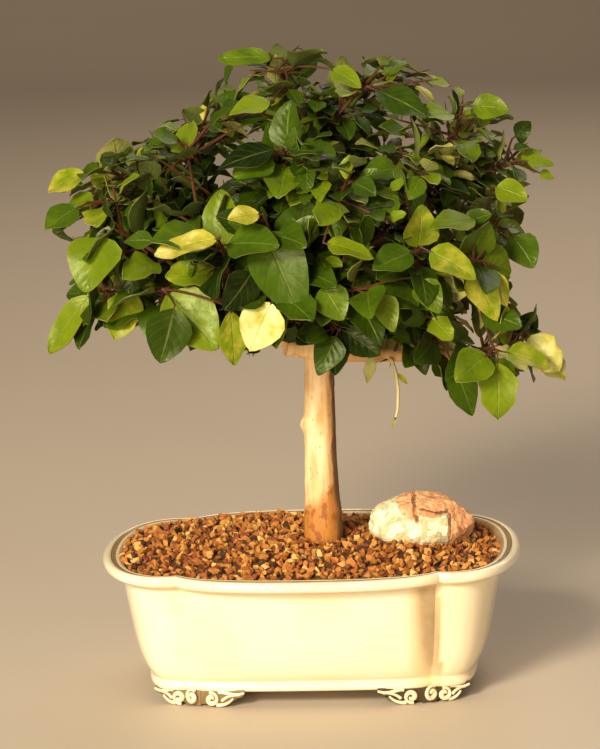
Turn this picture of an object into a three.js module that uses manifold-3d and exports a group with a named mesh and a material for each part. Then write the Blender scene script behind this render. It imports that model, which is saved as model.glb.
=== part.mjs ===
// Parrots beak bonsai in a lobed, glazed pot, with gravel soil and an accent stone.
// Millimetres, +Z up, the pot's long side along X, its front towards -Y.
import * as THREE from 'three';
import { mergeVertices } from 'three/addons/utils/BufferGeometryUtils.js';
import Module from 'manifold-3d';

const wasm = await Module();
wasm.setup();
const { Manifold, Mesh } = wasm;
const V = (x, y, z) => new THREE.Vector3(x, y, z);
const UP = V(0, 0, 1);

// Pot: half sizes at the lip, and the crease between the end lobe and the long lobe.
const POT_HALF_LENGTH = 102.5;
const POT_HALF_DEPTH = 70;
const CREASE = [63, 55];
const END_LOBE_STEPS = 6;
const LONG_LOBE_STEPS = 4;
const POT_BASE_Z = 7.5;
const POT_FLOOR_Z = 13;
const LIP_TOP_Z = 68;
// Each row is the inset from the lip's outline, and the height.
const POT_OUTSIDE = [
  [23.5, POT_BASE_Z], [22, 9], [22, 11], [23, 12.5], [19.5, 17], [16, 25], [13.2, 37],
  [9.6, 60], [2.4, 62.4], [0.2, 64], [0, 66.4], [1.2, 67.7],
];
const POT_INSIDE = [
  [2.6, LIP_TOP_Z], [8, LIP_TOP_Z], [10, 66.9], [14.5, 59], [18, 38], [24, 18], [34, POT_FLOOR_Z],
];
const DRAIN_HOLE_X = 38;
const DRAIN_HOLE_RADIUS = 6;
const DRAIN_HOLE_SIDES = 12;
const SEAT_GAP = 0.35;

// Feet: a scalloped bracket wraps each crease, with curls on its face.
const FOOT_CORNER = [57, 43.5];
const FOOT_LONG_END = [32, 48];
const FOOT_SHORT_END = [76, 38];
const FOOT_THICKNESS = 7;
const FOOT_TOP_Z = 9;
const CURL = { depth: 5, sunk: 0.9, sides: 7, dimple: 0.36 };

// Soil: gravel, mounded towards the trunk.
const SOIL_EDGE_Z = 62.5;
const SOIL_EDGE_INSET = 13;
const SOIL_SIDES = [[34 + 2 * SEAT_GAP, POT_FLOOR_Z + SEAT_GAP], [24.6, 18.4], [18.5, 38], [15, 59]];
const SOIL_SEED = 77;
const SOIL_MOUND = 9.5;
const SOIL_RINGS = 6;
const SOIL_ROUGHNESS = 1.5;

// Accent stone.
const STONE_CENTRE = [54, 8, 76];
const STONE_HALF = [26.5, 18.5, 15.5];
const STONE_DETAIL = 3;
// Broken faces: direction, and distance as a share of the half size.
const STONE_FACES = [
  [[-0.05, -1, 0.25], 0.84], [[0.75, -0.55, 0.35], 0.86], [[-0.7, -0.6, 0.4], 0.82],
  [[0.1, -0.25, 1], 0.9], [[-0.55, 0.1, 0.85], 0.86], [[0.8, 0.2, 0.55], 0.85],
  [[0, 1, 0.2], 0.86], [[-1, 0.2, 0], 0.9], [[0, 0, -1], 0.72],
];

// Trunk: centre and radius at each height, from inside the soil to the leader's tip.
const TRUNK = [
  [6.5, 0, 36, 7.8], [6.5, 0, 76, 9.6], [6.4, 0, 92, 9], [6.2, 0, 124, 8.1], [6.5, 0, 158, 7.4],
  [6.8, 0, 176, 6.8], [6, 1, 205, 5.2], [4, 2, 235, 3.8], [3, 0, 262, 2.6],
];
const TRUNK_SIDES = 10;
const KNOB = { at: [-2.2, -3, 130], radius: 3.6 };
const STUB = { from: [4, -3, 167], to: [-9.5, -8, 168.5], radius: 4.2 };

// Main limbs: start on the trunk, control point, end, radius at the start and at the end.
const LIMBS = {
  right_low: [[6.6, 0, 164], [48, -24, 165], [94, -40, 172], 3.8, 2.2],
  right_back: [[6.8, 0, 172], [40, 26, 174], [72, 42, 188], 3.4, 2.2],
  left_low: [[6.7, 0, 170], [-36, -14, 172], [-84, -18, 194], 3.8, 2.2],
  left_back: [[6.8, 0, 178], [-30, 28, 178], [-64, 44, 194], 3.2, 2.2],
  front_left: [[6.6, 0, 182], [-18, -40, 186], [-44, -52, 206], 3, 2.2],
  front: [[6.6, 0, 176], [10, -36, 182], [4, -60, 200], 3, 2.2],
  front_right: [[6.4, 0, 186], [34, -34, 192], [56, -50, 208], 3, 2.2],
  back: [[6.6, 0, 180], [14, 34, 186], [6, 66, 204], 3.2, 2.2],
  right_high: [[5.8, 1, 206], [40, 0, 216], [70, 0, 240], 3.2, 2.2],
  left_high: [[5.4, 1, 210], [-34, 0, 220], [-64, 4, 242], 3.2, 2.2],
  back_high: [[4.6, 2, 220], [18, 30, 228], [14, 50, 248], 2.8, 2.2],
  front_high: [[4.4, 2, 224], [-6, -26, 236], [2, -46, 254], 2.8, 2.2],
};
const LIMB_SIDES = 5;
const LIMB_STEPS = 3;

// Leafy sprays: the limb (or the trunk), how far along it, the twig's tip, and the leaf length.
const SPRAYS = [
  ['left_low', 1, [-98, -26, 203], 24], ['left_low', 0.82, [-62, -64, 209], 24],
  ['front', 1, [-9, -85, 209], 23], ['front', 0.95, [38, -82, 211], 21],
  ['right_low', 0.86, [92, -60, 176], 24], ['right_low', 1, [105, -34, 176], 22],
  ['right_back', 1, [94, 32, 186], 21], ['right_back', 0.72, [54, 76, 190], 22],
  ['back', 0.8, [6, 90, 194], 24], ['left_back', 0.85, [-50, 76, 194], 24],
  ['left_back', 1, [-98, 34, 202], 23], ['front', 0.45, [19, -62, 188], 20],
  ['right_low', 0.5, [66, -44, 180], 18],
  ['left_high', 0.62, [-100, -24, 244], 23], ['front_left', 1, [-89, -46, 236], 25],
  ['front_left', 0.7, [-34, -86, 236], 25], ['front', 1, [-12, -84, 241], 24],
  ['front_right', 0.9, [58, -80, 229], 21], ['front_right', 1, [86, -58, 218], 20],
  ['right_high', 0.6, [98, -26, 227], 18], ['right_back', 0.95, [90, 52, 224], 20],
  ['back', 0.9, [42, 86, 228], 21], ['back', 1, [-14, 94, 230], 23],
  ['left_back', 0.9, [-62, 74, 228], 24], ['left_high', 0.75, [-98, 40, 234], 23],
  ['left_high', 1, [-98, -8, 257], 20], ['front_left', 0.95, [-50, -50, 274], 21],
  ['front_high', 0.85, [-4, -74, 275], 21], ['right_high', 0.9, [50, -60, 264], 19],
  ['right_high', 1, [104, -8, 257], 16], ['right_high', 0.85, [84, 24, 276], 17],
  ['back_high', 0.9, [4, 68, 266], 21], ['left_high', 0.9, [-54, 46, 266], 20],
  ['trunk', 0.96, [-6, -16, 309], 20], ['trunk', 1, [34, -26, 296], 17],
  ['right_high', 0.98, [78, -32, 287], 17], ['back_high', 1, [30, 28, 294], 19],
  ['left_high', 0.98, [-34, 18, 286], 19], ['front_high', 1, [26, -84, 250], 20],
];
const TWIG_LENGTH = 46;
const TWIG_SIDES = 4;
const NODE_LENGTH = 1.8;
const BRANCHLET_STEPS = 2;
const BRANCHLET_RADIUS = 1.45;
const TWIG_RADIUS = 1.3;
const TWIG_TIP_RADIUS = 0.85;
const TWIG_GAP = 0.3;
const ARCH = 0.1;

// Leaves: opposite pairs along each twig and one at its tip.
const PAIR_AT = [0.18, 0.5, 0.82];
const LEAVES = 2 * PAIR_AT.length + 1;
const LEAF_THICKNESS = 0.8;
const LEAF_WIDTH = 0.8;
const STALK_LENGTH = 5;
const STALK_HALF_WIDTH = 0.9;
const LEAF_CLEARANCE = 0.35;
const LEAF_TRIES = 9;
const LEAF_FOLD = 0.28;
const LEAF_CURL = 0.16;
const BLADE_POINTS = 8;
const LEAF_SEED = { first: 11, spray: 997, leaf: 61, attempt: 7 };
const CROWN_CENTRE = V(3, 0, 212);
const LOW_CROWN_Z = 205;
// How far a leaf leans along its twig, away from the crown and down, and how its blade faces.
const LEAN = { along: 0.5, outward: 0.25, down: 0.1, downMore: 0.4, downLow: 0.15, stray: 0.12 };
const FACING = { outward: 0.75, up: 0.7, stray: 0.9 };
// Leaf sizes: the least share of the full size, how much it varies, and the loss at each new try.
const SIZE = { least: 0.84, varies: 0.32, loss: 0.05 };
const WIDTH = { least: 0.9, varies: 0.25 };
const STALK = { least: 0.8, varies: 0.5 };
const SIDE_REACH = 0.3;
const TIP_REACH = 0.1;
// The blade's outline: its shoulder and its upper corner, as shares of length and width.
const SHOULDER_AT = 0.36;
const CORNER_AT = 0.7;
const CORNER_WIDTH = 0.36;
const MIDDLE_AT = 0.45;

// Leaves that stand out at the front: spray, leaf, tip, and the way the blade faces.
const FRONT_LEAVES = {
  '0/6': [[-123, -31, 174], [-0.3, -0.8, 0.4]], '1/6': [[-37, -83, 186], [0.1, -1, 0.35]],
  '1/4': [[-62, -75, 180], [-0.2, -1, 0.3]], '2/6': [[-21, -92, 185], [0.1, -1, 0.45]],
  '3/6': [[45, -92, 193], [0.1, -1, 0.4]], '4/6': [[92, -70, 146], [0.1, -1, 0.3]],
  '5/6': [[124, -48, 161], [0.4, -0.8, 0.5]], '11/6': [[9, -72, 169], [0, -1, 0.3]],
  '12/6': [[80, -46, 147], [0.3, -1, 0.2]], '13/6': [[-119, -38, 236], [-0.3, -0.7, 0.6]],
  '14/6': [[-99, -62, 213], [-0.2, -1, 0.4]], '15/6': [[-63, -86, 231], [0, -0.4, 1]],
  '16/6': [[3, -98, 202], [0.1, -1, 0.35]], '17/6': [[83, -90, 218], [0.2, -0.7, 0.7]],
  '18/6': [[97, -67, 199], [0.3, -1, 0.2]], '19/6': [[110, -38, 212], [0.3, -1, 0.3]],
  '25/6': [[-121, -14, 250], [-0.3, -0.6, 0.8]], '26/6': [[-64, -58, 282], [-0.2, -0.6, 0.8]],
  '27/6': [[-34, -82, 270], [-0.1, -0.6, 0.8]], '29/6': [[121, -10, 256], [0.2, -0.7, 0.8]],
  '33/6': [[-36, -20, 312], [0, -0.8, 0.7]], '34/6': [[61, -46, 287], [0.2, -0.8, 0.6]],
  '35/6': [[99, -38, 286], [0.1, -0.9, 0.5]],
};

const BARK = new THREE.MeshStandardMaterial({ color: 0xe6c084, roughness: 0.85, metalness: 0 });
const GLAZE = new THREE.MeshStandardMaterial({ color: 0xf6ecc8, roughness: 0.2, metalness: 0 });
const GRAVEL = new THREE.MeshStandardMaterial({ color: 0x9c6234, roughness: 0.95, metalness: 0 });
const QUARTZ = new THREE.MeshStandardMaterial({ color: 0xefc9a6, roughness: 0.7, metalness: 0 });
const MESH_PLASTIC = new THREE.MeshStandardMaterial({ color: 0x2b3a30, roughness: 0.6, metalness: 0 });
const FOLIAGE = new THREE.MeshStandardMaterial({
  color: 0x3f7a22, roughness: 0.35, metalness: 0, side: THREE.DoubleSide,
});

// Repeatable random numbers between 0 and 1.
function seeded(seed) {
  let state = seed;
  const draw = () => {
    state = (state * 16807) % 2147483647;
    return state / 2147483647;
  };
  draw();
  draw();
  return draw;
}

// Solids to and from geometry.
function toSolid(geometry) {
  const bare = new THREE.BufferGeometry();
  bare.setAttribute('position', geometry.getAttribute('position'));
  if (geometry.index) bare.setIndex(geometry.index);
  const merged = mergeVertices(bare, 1e-4);
  const vertProperties = new Float32Array(merged.getAttribute('position').array);
  const triVerts = new Uint32Array(merged.index.array);
  return new Manifold(new Mesh({ numProp: 3, vertProperties, triVerts }));
}

function toGeometry(solid) {
  const mesh = solid.getMesh();
  const geometry = new THREE.BufferGeometry();
  geometry.setAttribute('position', new THREE.BufferAttribute(mesh.vertProperties, 3));
  geometry.setIndex(new THREE.BufferAttribute(mesh.triVerts, 1));
  geometry.computeVertexNormals();
  return geometry;
}

// A closed solid from points and faces, turned so that its faces point out.
function closedSolid(points, faces) {
  let volume = 0;
  for (const [a, b, c] of faces) {
    volume += points[a].dot(V(0, 0, 0).crossVectors(points[b], points[c]));
  }
  const geometry = new THREE.BufferGeometry().setFromPoints(points);
  geometry.setIndex(faces.flatMap(([a, b, c]) => (volume > 0 ? [a, b, c] : [a, c, b])));
  return toSolid(geometry);
}

// A skin through rings of points, with both ends closed to their middles.
function loft(rings) {
  const around = rings[0].length;
  const points = rings.flat();
  const faces = [];
  for (let r = 0; r + 1 < rings.length; r++) {
    for (let i = 0; i < around; i++) {
      const a = r * around + i;
      const b = r * around + (i + 1) % around;
      faces.push([a, b, a + around], [b, b + around, a + around]);
    }
  }
  const ends = [[0, rings[0]], [(rings.length - 1) * around, rings.at(-1)]];
  ends.forEach(([first, ring], end) => {
    const middle = points.length;
    points.push(ring.reduce((sum, p) => sum.add(p), V(0, 0, 0)).divideScalar(around));
    for (let i = 0; i < around; i++) {
      const a = first + i;
      const b = first + (i + 1) % around;
      faces.push(end ? [a, b, middle] : [b, a, middle]);
    }
  });
  return closedSolid(points, faces);
}

// The corners of a stem's section, square to its path.
function stemRing(centre, tangent, radius, sides, level = UP) {
  const along = tangent.clone().normalize();
  const across = along.clone().cross(level).normalize();
  const other = across.clone().cross(along);
  return Array.from({ length: sides }, (_, k) => {
    const turn = (2 * Math.PI * (k - 0.5)) / sides;
    const edge = across.clone().multiplyScalar(Math.cos(turn)).addScaledVector(other, Math.sin(turn));
    return centre.clone().addScaledVector(edge, radius);
  });
}

// A round, tapering stem through centres, square to the path at each one.
function stem(centres, tangents, radii, sides, level) {
  return loft(centres.map((centre, i) => stemRing(centre, tangents[i], radii[i], sides, level)));
}

// Part of a curve as a stem.
function curveStem(curve, from, to, steps, startRadius, endRadius, sides) {
  const centres = [];
  const tangents = [];
  const radii = [];
  for (let i = 0; i <= steps; i++) {
    const t = from + ((to - from) * i) / steps;
    centres.push(curve.getPoint(t));
    tangents.push(curve.getTangent(t));
    radii.push(startRadius + ((endRadius - startRadius) * i) / steps);
  }
  return stem(centres, tangents, radii, sides);
}

// Pot outline: four lobes, from the +X end round through +Y, at an inset from the lip.
function potOutline(inset) {
  const [creaseX, creaseY] = CREASE;
  const endLobe = new THREE.CubicBezierCurve(
    new THREE.Vector2(POT_HALF_LENGTH, 0), new THREE.Vector2(POT_HALF_LENGTH, 36),
    new THREE.Vector2(86, 61), new THREE.Vector2(creaseX, creaseY),
  );
  const longLobe = new THREE.CubicBezierCurve(
    new THREE.Vector2(creaseX, creaseY), new THREE.Vector2(53, 65.5),
    new THREE.Vector2(34, POT_HALF_DEPTH), new THREE.Vector2(0, POT_HALF_DEPTH),
  );
  const endPoints = endLobe.getPoints(END_LOBE_STEPS).slice(0, -1);
  const quarter = [...endPoints, ...longLobe.getPoints(LONG_LOBE_STEPS)];
  const insetX = (x) => x - inset * (x / POT_HALF_LENGTH) ** 3;
  const insetY = (y) => y - inset * (y / POT_HALF_DEPTH) ** 2.5;
  const first = quarter.map((p) => [insetX(p.x), insetY(p.y)]);
  const second = first.slice(0, -1).reverse().map(([x, y]) => [-x, y]);
  const half = [...first, ...second];
  const rest = half.slice(1, -1).reverse().map(([x, y]) => [x, -y]);
  return [...half, ...rest];
}

const outlineRing = (inset, z) => potOutline(inset).map(([x, y]) => V(x, y, z));

// Upright round peg with its axis along Z, or turned to look along a direction.
function peg(radius, length, sides, at, axis = UP) {
  const geometry = new THREE.CylinderGeometry(radius, radius, length, sides);
  geometry.applyQuaternion(new THREE.Quaternion().setFromUnitVectors(V(0, 1, 0), axis.clone().normalize()));
  geometry.translate(at.x, at.y, at.z);
  return toSolid(geometry);
}

// One wing of a foot: a scalloped plate from the corner to its end.
function footWing(from, to) {
  const run = to.clone().sub(from);
  const length = run.length();
  const profile = new THREE.Shape();
  profile.moveTo(-3.4, 0);
  profile.lineTo(length * 0.42, 0);
  profile.lineTo(length * 0.46, FOOT_TOP_Z * 0.22);
  profile.lineTo(length * 0.64, FOOT_TOP_Z * 0.15);
  profile.lineTo(length * 0.78, FOOT_TOP_Z * 0.5);
  profile.lineTo(length, FOOT_TOP_Z * 0.68);
  profile.lineTo(length, FOOT_TOP_Z);
  profile.lineTo(-3.4, FOOT_TOP_Z);
  const geometry = new THREE.ExtrudeGeometry(profile, { depth: FOOT_THICKNESS, bevelEnabled: false });
  const along = run.clone().normalize();
  const outward = along.clone().cross(UP).normalize();
  const inward = outward.clone().multiplyScalar(outward.dot(from) > 0 ? -1 : 1);
  const frame = new THREE.Matrix4().makeBasis(along, UP, inward).setPosition(from);
  geometry.applyMatrix4(frame);
  if (frame.determinant() < 0) {
    const index = [...Array(geometry.getAttribute('position').count).keys()];
    for (let i = 0; i < index.length; i += 3) [index[i], index[i + 1]] = [index[i + 1], index[i]];
    geometry.setIndex(index);
  }
  return { solid: toSolid(geometry), along, outward: inward.clone().negate(), length };
}

// A curl: a raised disc on the face of a wing, with or without a dimple.
function curl(at, outward, radius, dimpled = false) {
  const middle = at.clone().addScaledVector(outward, -CURL.sunk);
  const disc = peg(radius, CURL.depth, CURL.sides, middle, outward);
  if (!dimpled) return disc;
  const dimple = at.clone().addScaledVector(outward, CURL.depth / 2 - CURL.sunk);
  return disc.subtract(peg(radius * CURL.dimple, CURL.depth / 2, CURL.sides, dimple, outward));
}

function makeFoot(signX, signY) {
  const place = ([x, y]) => V(signX * x, signY * y, 0);
  const corner = place(FOOT_CORNER);
  const wings = [footWing(corner, place(FOOT_LONG_END)), footWing(corner, place(FOOT_SHORT_END))];
  let foot = wings[0].solid.add(wings[1].solid);
  const front = wings[0].outward.clone().add(wings[1].outward).normalize();
  foot = foot.add(curl(corner.clone().addScaledVector(front, 0.6).setZ(4.1), front, 4, true));
  const [longWing] = wings;
  const at = corner.clone().addScaledVector(longWing.along, longWing.length * 0.4).setZ(3.2);
  return foot.add(curl(at, longWing.outward, 2.8));
}

function makePot() {
  const shell = loft([...POT_OUTSIDE, ...POT_INSIDE].map(([inset, z]) => outlineRing(inset, z)));
  let pot = shell;
  for (const signX of [-1, 1]) {
    for (const signY of [-1, 1]) pot = pot.add(makeFoot(signX, signY));
    const hole = peg(DRAIN_HOLE_RADIUS, 16, DRAIN_HOLE_SIDES, V(signX * DRAIN_HOLE_X, 0, POT_FLOOR_Z - 2));
    pot = pot.subtract(hole);
  }
  return pot;
}

// Drain mesh: a square of plastic netting over each hole in the floor.
const NET = { size: 20, thickness: 1.2, holes: 2, hole: 7 };

function boxSolid(sizeX, sizeY, sizeZ, x, y, z) {
  return toSolid(new THREE.BoxGeometry(sizeX, sizeY, sizeZ).translate(x, y, z));
}

function makeDrainMesh(x) {
  const z = POT_FLOOR_Z + SEAT_GAP + NET.thickness / 2;
  const pitch = NET.size / NET.holes;
  let sheet = boxSolid(NET.size, NET.size, NET.thickness, x, 0, z);
  for (let i = 0; i < NET.holes; i++) {
    for (let j = 0; j < NET.holes; j++) {
      const holeX = x + (i + 0.5) * pitch - NET.size / 2;
      const holeY = (j + 0.5) * pitch - NET.size / 2;
      sheet = sheet.subtract(boxSolid(NET.hole, NET.hole, 2 * NET.thickness, holeX, holeY, z));
    }
  }
  return sheet;
}

// Accent stone: a ball cut back to its broken faces.
function makeStone(grow) {
  const geometry = new THREE.IcosahedronGeometry(1, STONE_DETAIL);
  const position = geometry.getAttribute('position');
  const faces = STONE_FACES.map(([direction, distance]) => [V(...direction).normalize(), distance]);
  for (let i = 0; i < position.count; i++) {
    const way = V().fromBufferAttribute(position, i).normalize();
    let reach = 1;
    for (const [normal, distance] of faces) {
      const facing = way.dot(normal);
      if (facing > 0.05) reach = Math.min(reach, distance / facing);
    }
    const at = STONE_HALF.map((half, axis) => (
      STONE_CENTRE[axis] + way.getComponent(axis) * reach * (half + grow)
    ));
    position.setXYZ(i, ...at);
  }
  return toSolid(geometry);
}

// Trunk with its limbs and the branchlets that carry the sprays.
const trunkCurve = new THREE.CatmullRomCurve3(TRUNK.map(([x, y, z]) => V(x, y, z)));

const limbCurve = (name) => {
  const [start, control, end] = LIMBS[name];
  return new THREE.QuadraticBezierCurve3(V(...start), V(...control), V(...end));
};

// The curve of one spray, from its limb to its tip, and where the leafy twig starts on it.
function sprayCurve([limb, along, tip]) {
  const end = V(...tip);
  const start = limb === 'trunk' ? trunkAt(along) : limbCurve(limb).getPoint(along);
  const span = start.distanceTo(end);
  const control = start.clone().lerp(end, 0.5).addScaledVector(UP, ARCH * span);
  const curve = new THREE.QuadraticBezierCurve3(start, control, end);
  const length = (span + start.distanceTo(control) + control.distanceTo(end)) / 2;
  return { curve, leafy: Math.max(0.25, 1 - TWIG_LENGTH / length) };
}

function trunkAt(along) {
  const place = along * (TRUNK.length - 1);
  const row = Math.min(Math.floor(place), TRUNK.length - 2);
  return V(...TRUNK[row].slice(0, 3)).lerp(V(...TRUNK[row + 1].slice(0, 3)), place - row);
}

function makeTrunk(grow = 0) {
  const centres = TRUNK.map(([x, y, z]) => V(x, y, z));
  const tangents = centres.map((_, i) => trunkCurve.getTangent(i / (centres.length - 1)));
  centres[0].z -= grow;
  return stem(centres, tangents, TRUNK.map((row) => row[3] + grow), TRUNK_SIDES, V(0, -1, 0));
}

function makeTree(sprays) {
  let tree = makeTrunk();
  const knob = new THREE.IcosahedronGeometry(KNOB.radius, 1).translate(...KNOB.at);
  tree = tree.add(toSolid(knob));
  const stub = [V(...STUB.from), V(...STUB.to)];
  const run = stub[1].clone().sub(stub[0]);
  tree = tree.add(stem(stub, [run, run], [STUB.radius, STUB.radius * 0.9], 7));
  for (const name of Object.keys(LIMBS)) {
    const [, , , startRadius, endRadius] = LIMBS[name];
    tree = tree.add(curveStem(limbCurve(name), 0, 1, LIMB_STEPS, startRadius, endRadius, LIMB_SIDES));
  }
  for (const { curve, leafy } of sprays) {
    tree = tree.add(curveStem(curve, 0, leafy, BRANCHLET_STEPS, BRANCHLET_RADIUS, TWIG_RADIUS, TWIG_SIDES));
  }
  return tree;
}

// The rings of a spray's twig: its start, two close together at each leaf pair, and its tip.
function twigRings({ curve, leafy }) {
  const half = NODE_LENGTH / 2;
  const places = [[leafy, TWIG_GAP], ...PAIR_AT.flatMap((at) => {
    const t = leafy + (1 - leafy) * at;
    return [[t, -half], [t, half]];
  }), [1, 0]];
  return places.map(([t, slide]) => {
    const tangent = curve.getTangent(t);
    const centre = curve.getPoint(t).addScaledVector(tangent, slide);
    const share = (t - leafy) / (1 - leafy);
    return stemRing(centre, tangent, TWIG_RADIUS + (TWIG_TIP_RADIUS - TWIG_RADIUS) * share, TWIG_SIDES);
  });
}

// The four corners that a leaf grows from: a side of the twig at its pair, or the twig's end.
function leafSeat(rings, leaf, side) {
  if (leaf === LEAVES - 1) return [...rings.at(-1)].reverse();
  const low = rings[1 + 2 * Math.floor(leaf / 2)];
  const high = rings[2 + 2 * Math.floor(leaf / 2)];
  const next = (side + 1) % TWIG_SIDES;
  return [low[next], low[side], high[side], high[next]];
}

const centreOf = (corners) => (
  corners.reduce((sum, p) => sum.add(p), V(0, 0, 0)).divideScalar(corners.length)
);

// Where a leaf grows and how it is held: root, length axis, blade's face, and sizes.
function leafPose(spray, leaf, attempt) {
  const { curve, leafy, size, number, rings } = spray;
  const seed = LEAF_SEED.first + LEAF_SEED.spray * number + LEAF_SEED.leaf * leaf;
  const draw = seeded(seed + LEAF_SEED.attempt * attempt);
  const lengthDraw = draw();
  const droopDraw = draw();
  const turnDraw = draw() - 0.5;
  const stray = V(draw() - 0.5, draw() - 0.5, draw() - 0.5);
  const widthDraw = draw();
  const stalk = STALK_LENGTH * (STALK.least + STALK.varies * draw());
  const terminal = leaf === LEAVES - 1;
  const pair = Math.floor(leaf / 2);
  const t = terminal ? 1 : leafy + (1 - leafy) * PAIR_AT[pair];
  const along = curve.getTangent(t);
  const side = (pair + 2 * (leaf % 2)) % TWIG_SIDES;
  const seat = leafSeat(rings, leaf, side);
  const root = centreOf(seat);
  const outward = root.clone().sub(CROWN_CENTRE).normalize();
  const sideways = root.clone().sub(curve.getPoint(t)).normalize();
  const droop = LEAN.down + LEAN.downMore * droopDraw + (root.z < LOW_CROWN_Z ? LEAN.downLow : 0);
  const way = along.clone();
  if (!terminal) way.multiplyScalar(LEAN.along * (1 + turnDraw)).add(sideways);
  way.addScaledVector(outward, LEAN.outward).addScaledVector(UP, -droop);
  way.addScaledVector(stray, LEAN.stray * attempt).normalize();
  let length = size * (SIZE.least + SIZE.varies * lengthDraw) * (1 - SIZE.loss * attempt);
  let face = outward.clone().multiplyScalar(FACING.outward).addScaledVector(UP, FACING.up);
  face.addScaledVector(stray, FACING.stray);
  const shown = FRONT_LEAVES[`${number}/${leaf}`];
  if (shown) {
    const reach = V(...shown[0]).sub(root);
    length = (reach.length() - stalk) * (1 - SIZE.loss * attempt);
    way.copy(reach).normalize();
    face = V(...shown[1]).addScaledVector(stray, LEAN.stray * attempt);
  }
  face.addScaledVector(way, -face.dot(way)).normalize();
  const width = length * LEAF_WIDTH * (WIDTH.least + WIDTH.varies * widthDraw);
  const fits = terminal ? way.dot(along) > TIP_REACH : way.dot(sideways) > SIDE_REACH;
  return { root, way, face, stalk, length, width, seat, fits };
}

// A leaf's top and bottom points: round the blade from one side of the stalk to the other, then its middle.
function leafPoints({ root, way, face, stalk, length, width }, grow) {
  const across = way.clone().cross(face);
  const right = [
    [STALK_HALF_WIDTH + grow, stalk - grow], [width / 2 + grow, stalk + SHOULDER_AT * length],
    [CORNER_WIDTH * width + grow, stalk + CORNER_AT * length],
  ];
  const left = right.map(([x, y]) => [-x, y]).reverse();
  const flat = [...right, [0, stalk + length + grow], ...left, [0, stalk + MIDDLE_AT * length]];
  const half = LEAF_THICKNESS / 2 + grow;
  return [half, -half].flatMap((lift) => flat.map(([x, y]) => {
    const blade = y - stalk;
    const height = LEAF_FOLD * Math.abs(x) - (LEAF_CURL * blade * blade) / length + lift;
    return root.clone().addScaledVector(across, x).addScaledVector(way, y).addScaledVector(face, height);
  }));
}

// A leaf's faces, with its stalk bridged to the four corners it grows from.
function leafFaces(seatIndex, first, points, seat) {
  const rim = BLADE_POINTS - 1;
  const top = (i) => first + i;
  const bottom = (i) => first + BLADE_POINTS + i;
  const faces = [];
  for (let i = 0; i < rim; i++) {
    const next = (i + 1) % rim;
    faces.push([top(i), top(next), top(rim)], [bottom(next), bottom(i), bottom(rim)]);
    if (i < rim - 1) faces.push([top(i), bottom(i), bottom(next)], [top(i), bottom(next), top(next)]);
  }
  if (!seatIndex) {
    faces.push([top(rim - 1), bottom(rim - 1), bottom(0)], [top(rim - 1), bottom(0), top(0)]);
    return faces;
  }
  const stalkEnd = [0, BLADE_POINTS, BLADE_POINTS + rim - 1, rim - 1];
  const stretch = (turn) => seat.reduce((sum, p, k) => (
    sum + p.distanceToSquared(points[stalkEnd[(k + turn) % 4]])
  ), 0);
  const turn = [0, 1, 2, 3].reduce((best, k) => (stretch(k) < stretch(best) ? k : best), 0);
  for (let k = 0; k < 4; k++) {
    const next = (k + 1) % 4;
    const here = first + stalkEnd[(k + turn) % 4];
    const there = first + stalkEnd[(next + turn) % 4];
    faces.push([seatIndex[k], seatIndex[next], there], [seatIndex[k], there, here]);
  }
  return faces;
}

// A blade by itself, or with its stalk, as a closed solid to test against the others.
function bladeSolid(pose, grow) {
  const points = leafPoints(pose, grow);
  return closedSolid(points, leafFaces(null, 0, points));
}

function leafSolid(pose, grow) {
  const points = leafPoints(pose, grow);
  const faces = leafFaces([0, 1, 2, 3], 4, points, pose.seat);
  return closedSolid([...pose.seat, ...points], [...faces, [0, 2, 1], [0, 3, 2]]);
}

// A whole spray in one skin: the twig, with each leaf's stalk growing out of its seat.
function spraySolid(rings, leaves) {
  const points = rings.flat();
  const corner = (ring, k) => ring * TWIG_SIDES + (k % TWIG_SIDES);
  const faces = [[corner(0, 0), corner(0, 1), corner(0, 2)], [corner(0, 0), corner(0, 2), corner(0, 3)]];
  const seats = new Map(leaves.map((pose) => [pose.seat.map((p) => points.indexOf(p)).join(), pose]));
  const cover = (quad) => {
    const pose = seats.get(quad.join());
    if (!pose) {
      faces.push([quad[0], quad[1], quad[2]], [quad[0], quad[2], quad[3]]);
      return;
    }
    const first = points.length;
    const blade = leafPoints(pose, 0);
    points.push(...blade);
    faces.push(...leafFaces(quad, first, blade, pose.seat));
  };
  for (let ring = 0; ring + 1 < rings.length; ring++) {
    for (let k = 0; k < TWIG_SIDES; k++) {
      cover([corner(ring, k + 1), corner(ring, k), corner(ring + 1, k), corner(ring + 1, k + 1)]);
    }
  }
  cover([3, 2, 1, 0].map((k) => corner(rings.length - 1, k)));
  return closedSolid(points, faces);
}

const crosses = (a, b) => {
  const [one, two] = [a.boundingBox(), b.boundingBox()];
  const apart = [0, 1, 2].some((axis) => one.min[axis] > two.max[axis] || two.min[axis] > one.max[axis]);
  return !apart && !a.intersect(b).isEmpty();
};

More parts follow.
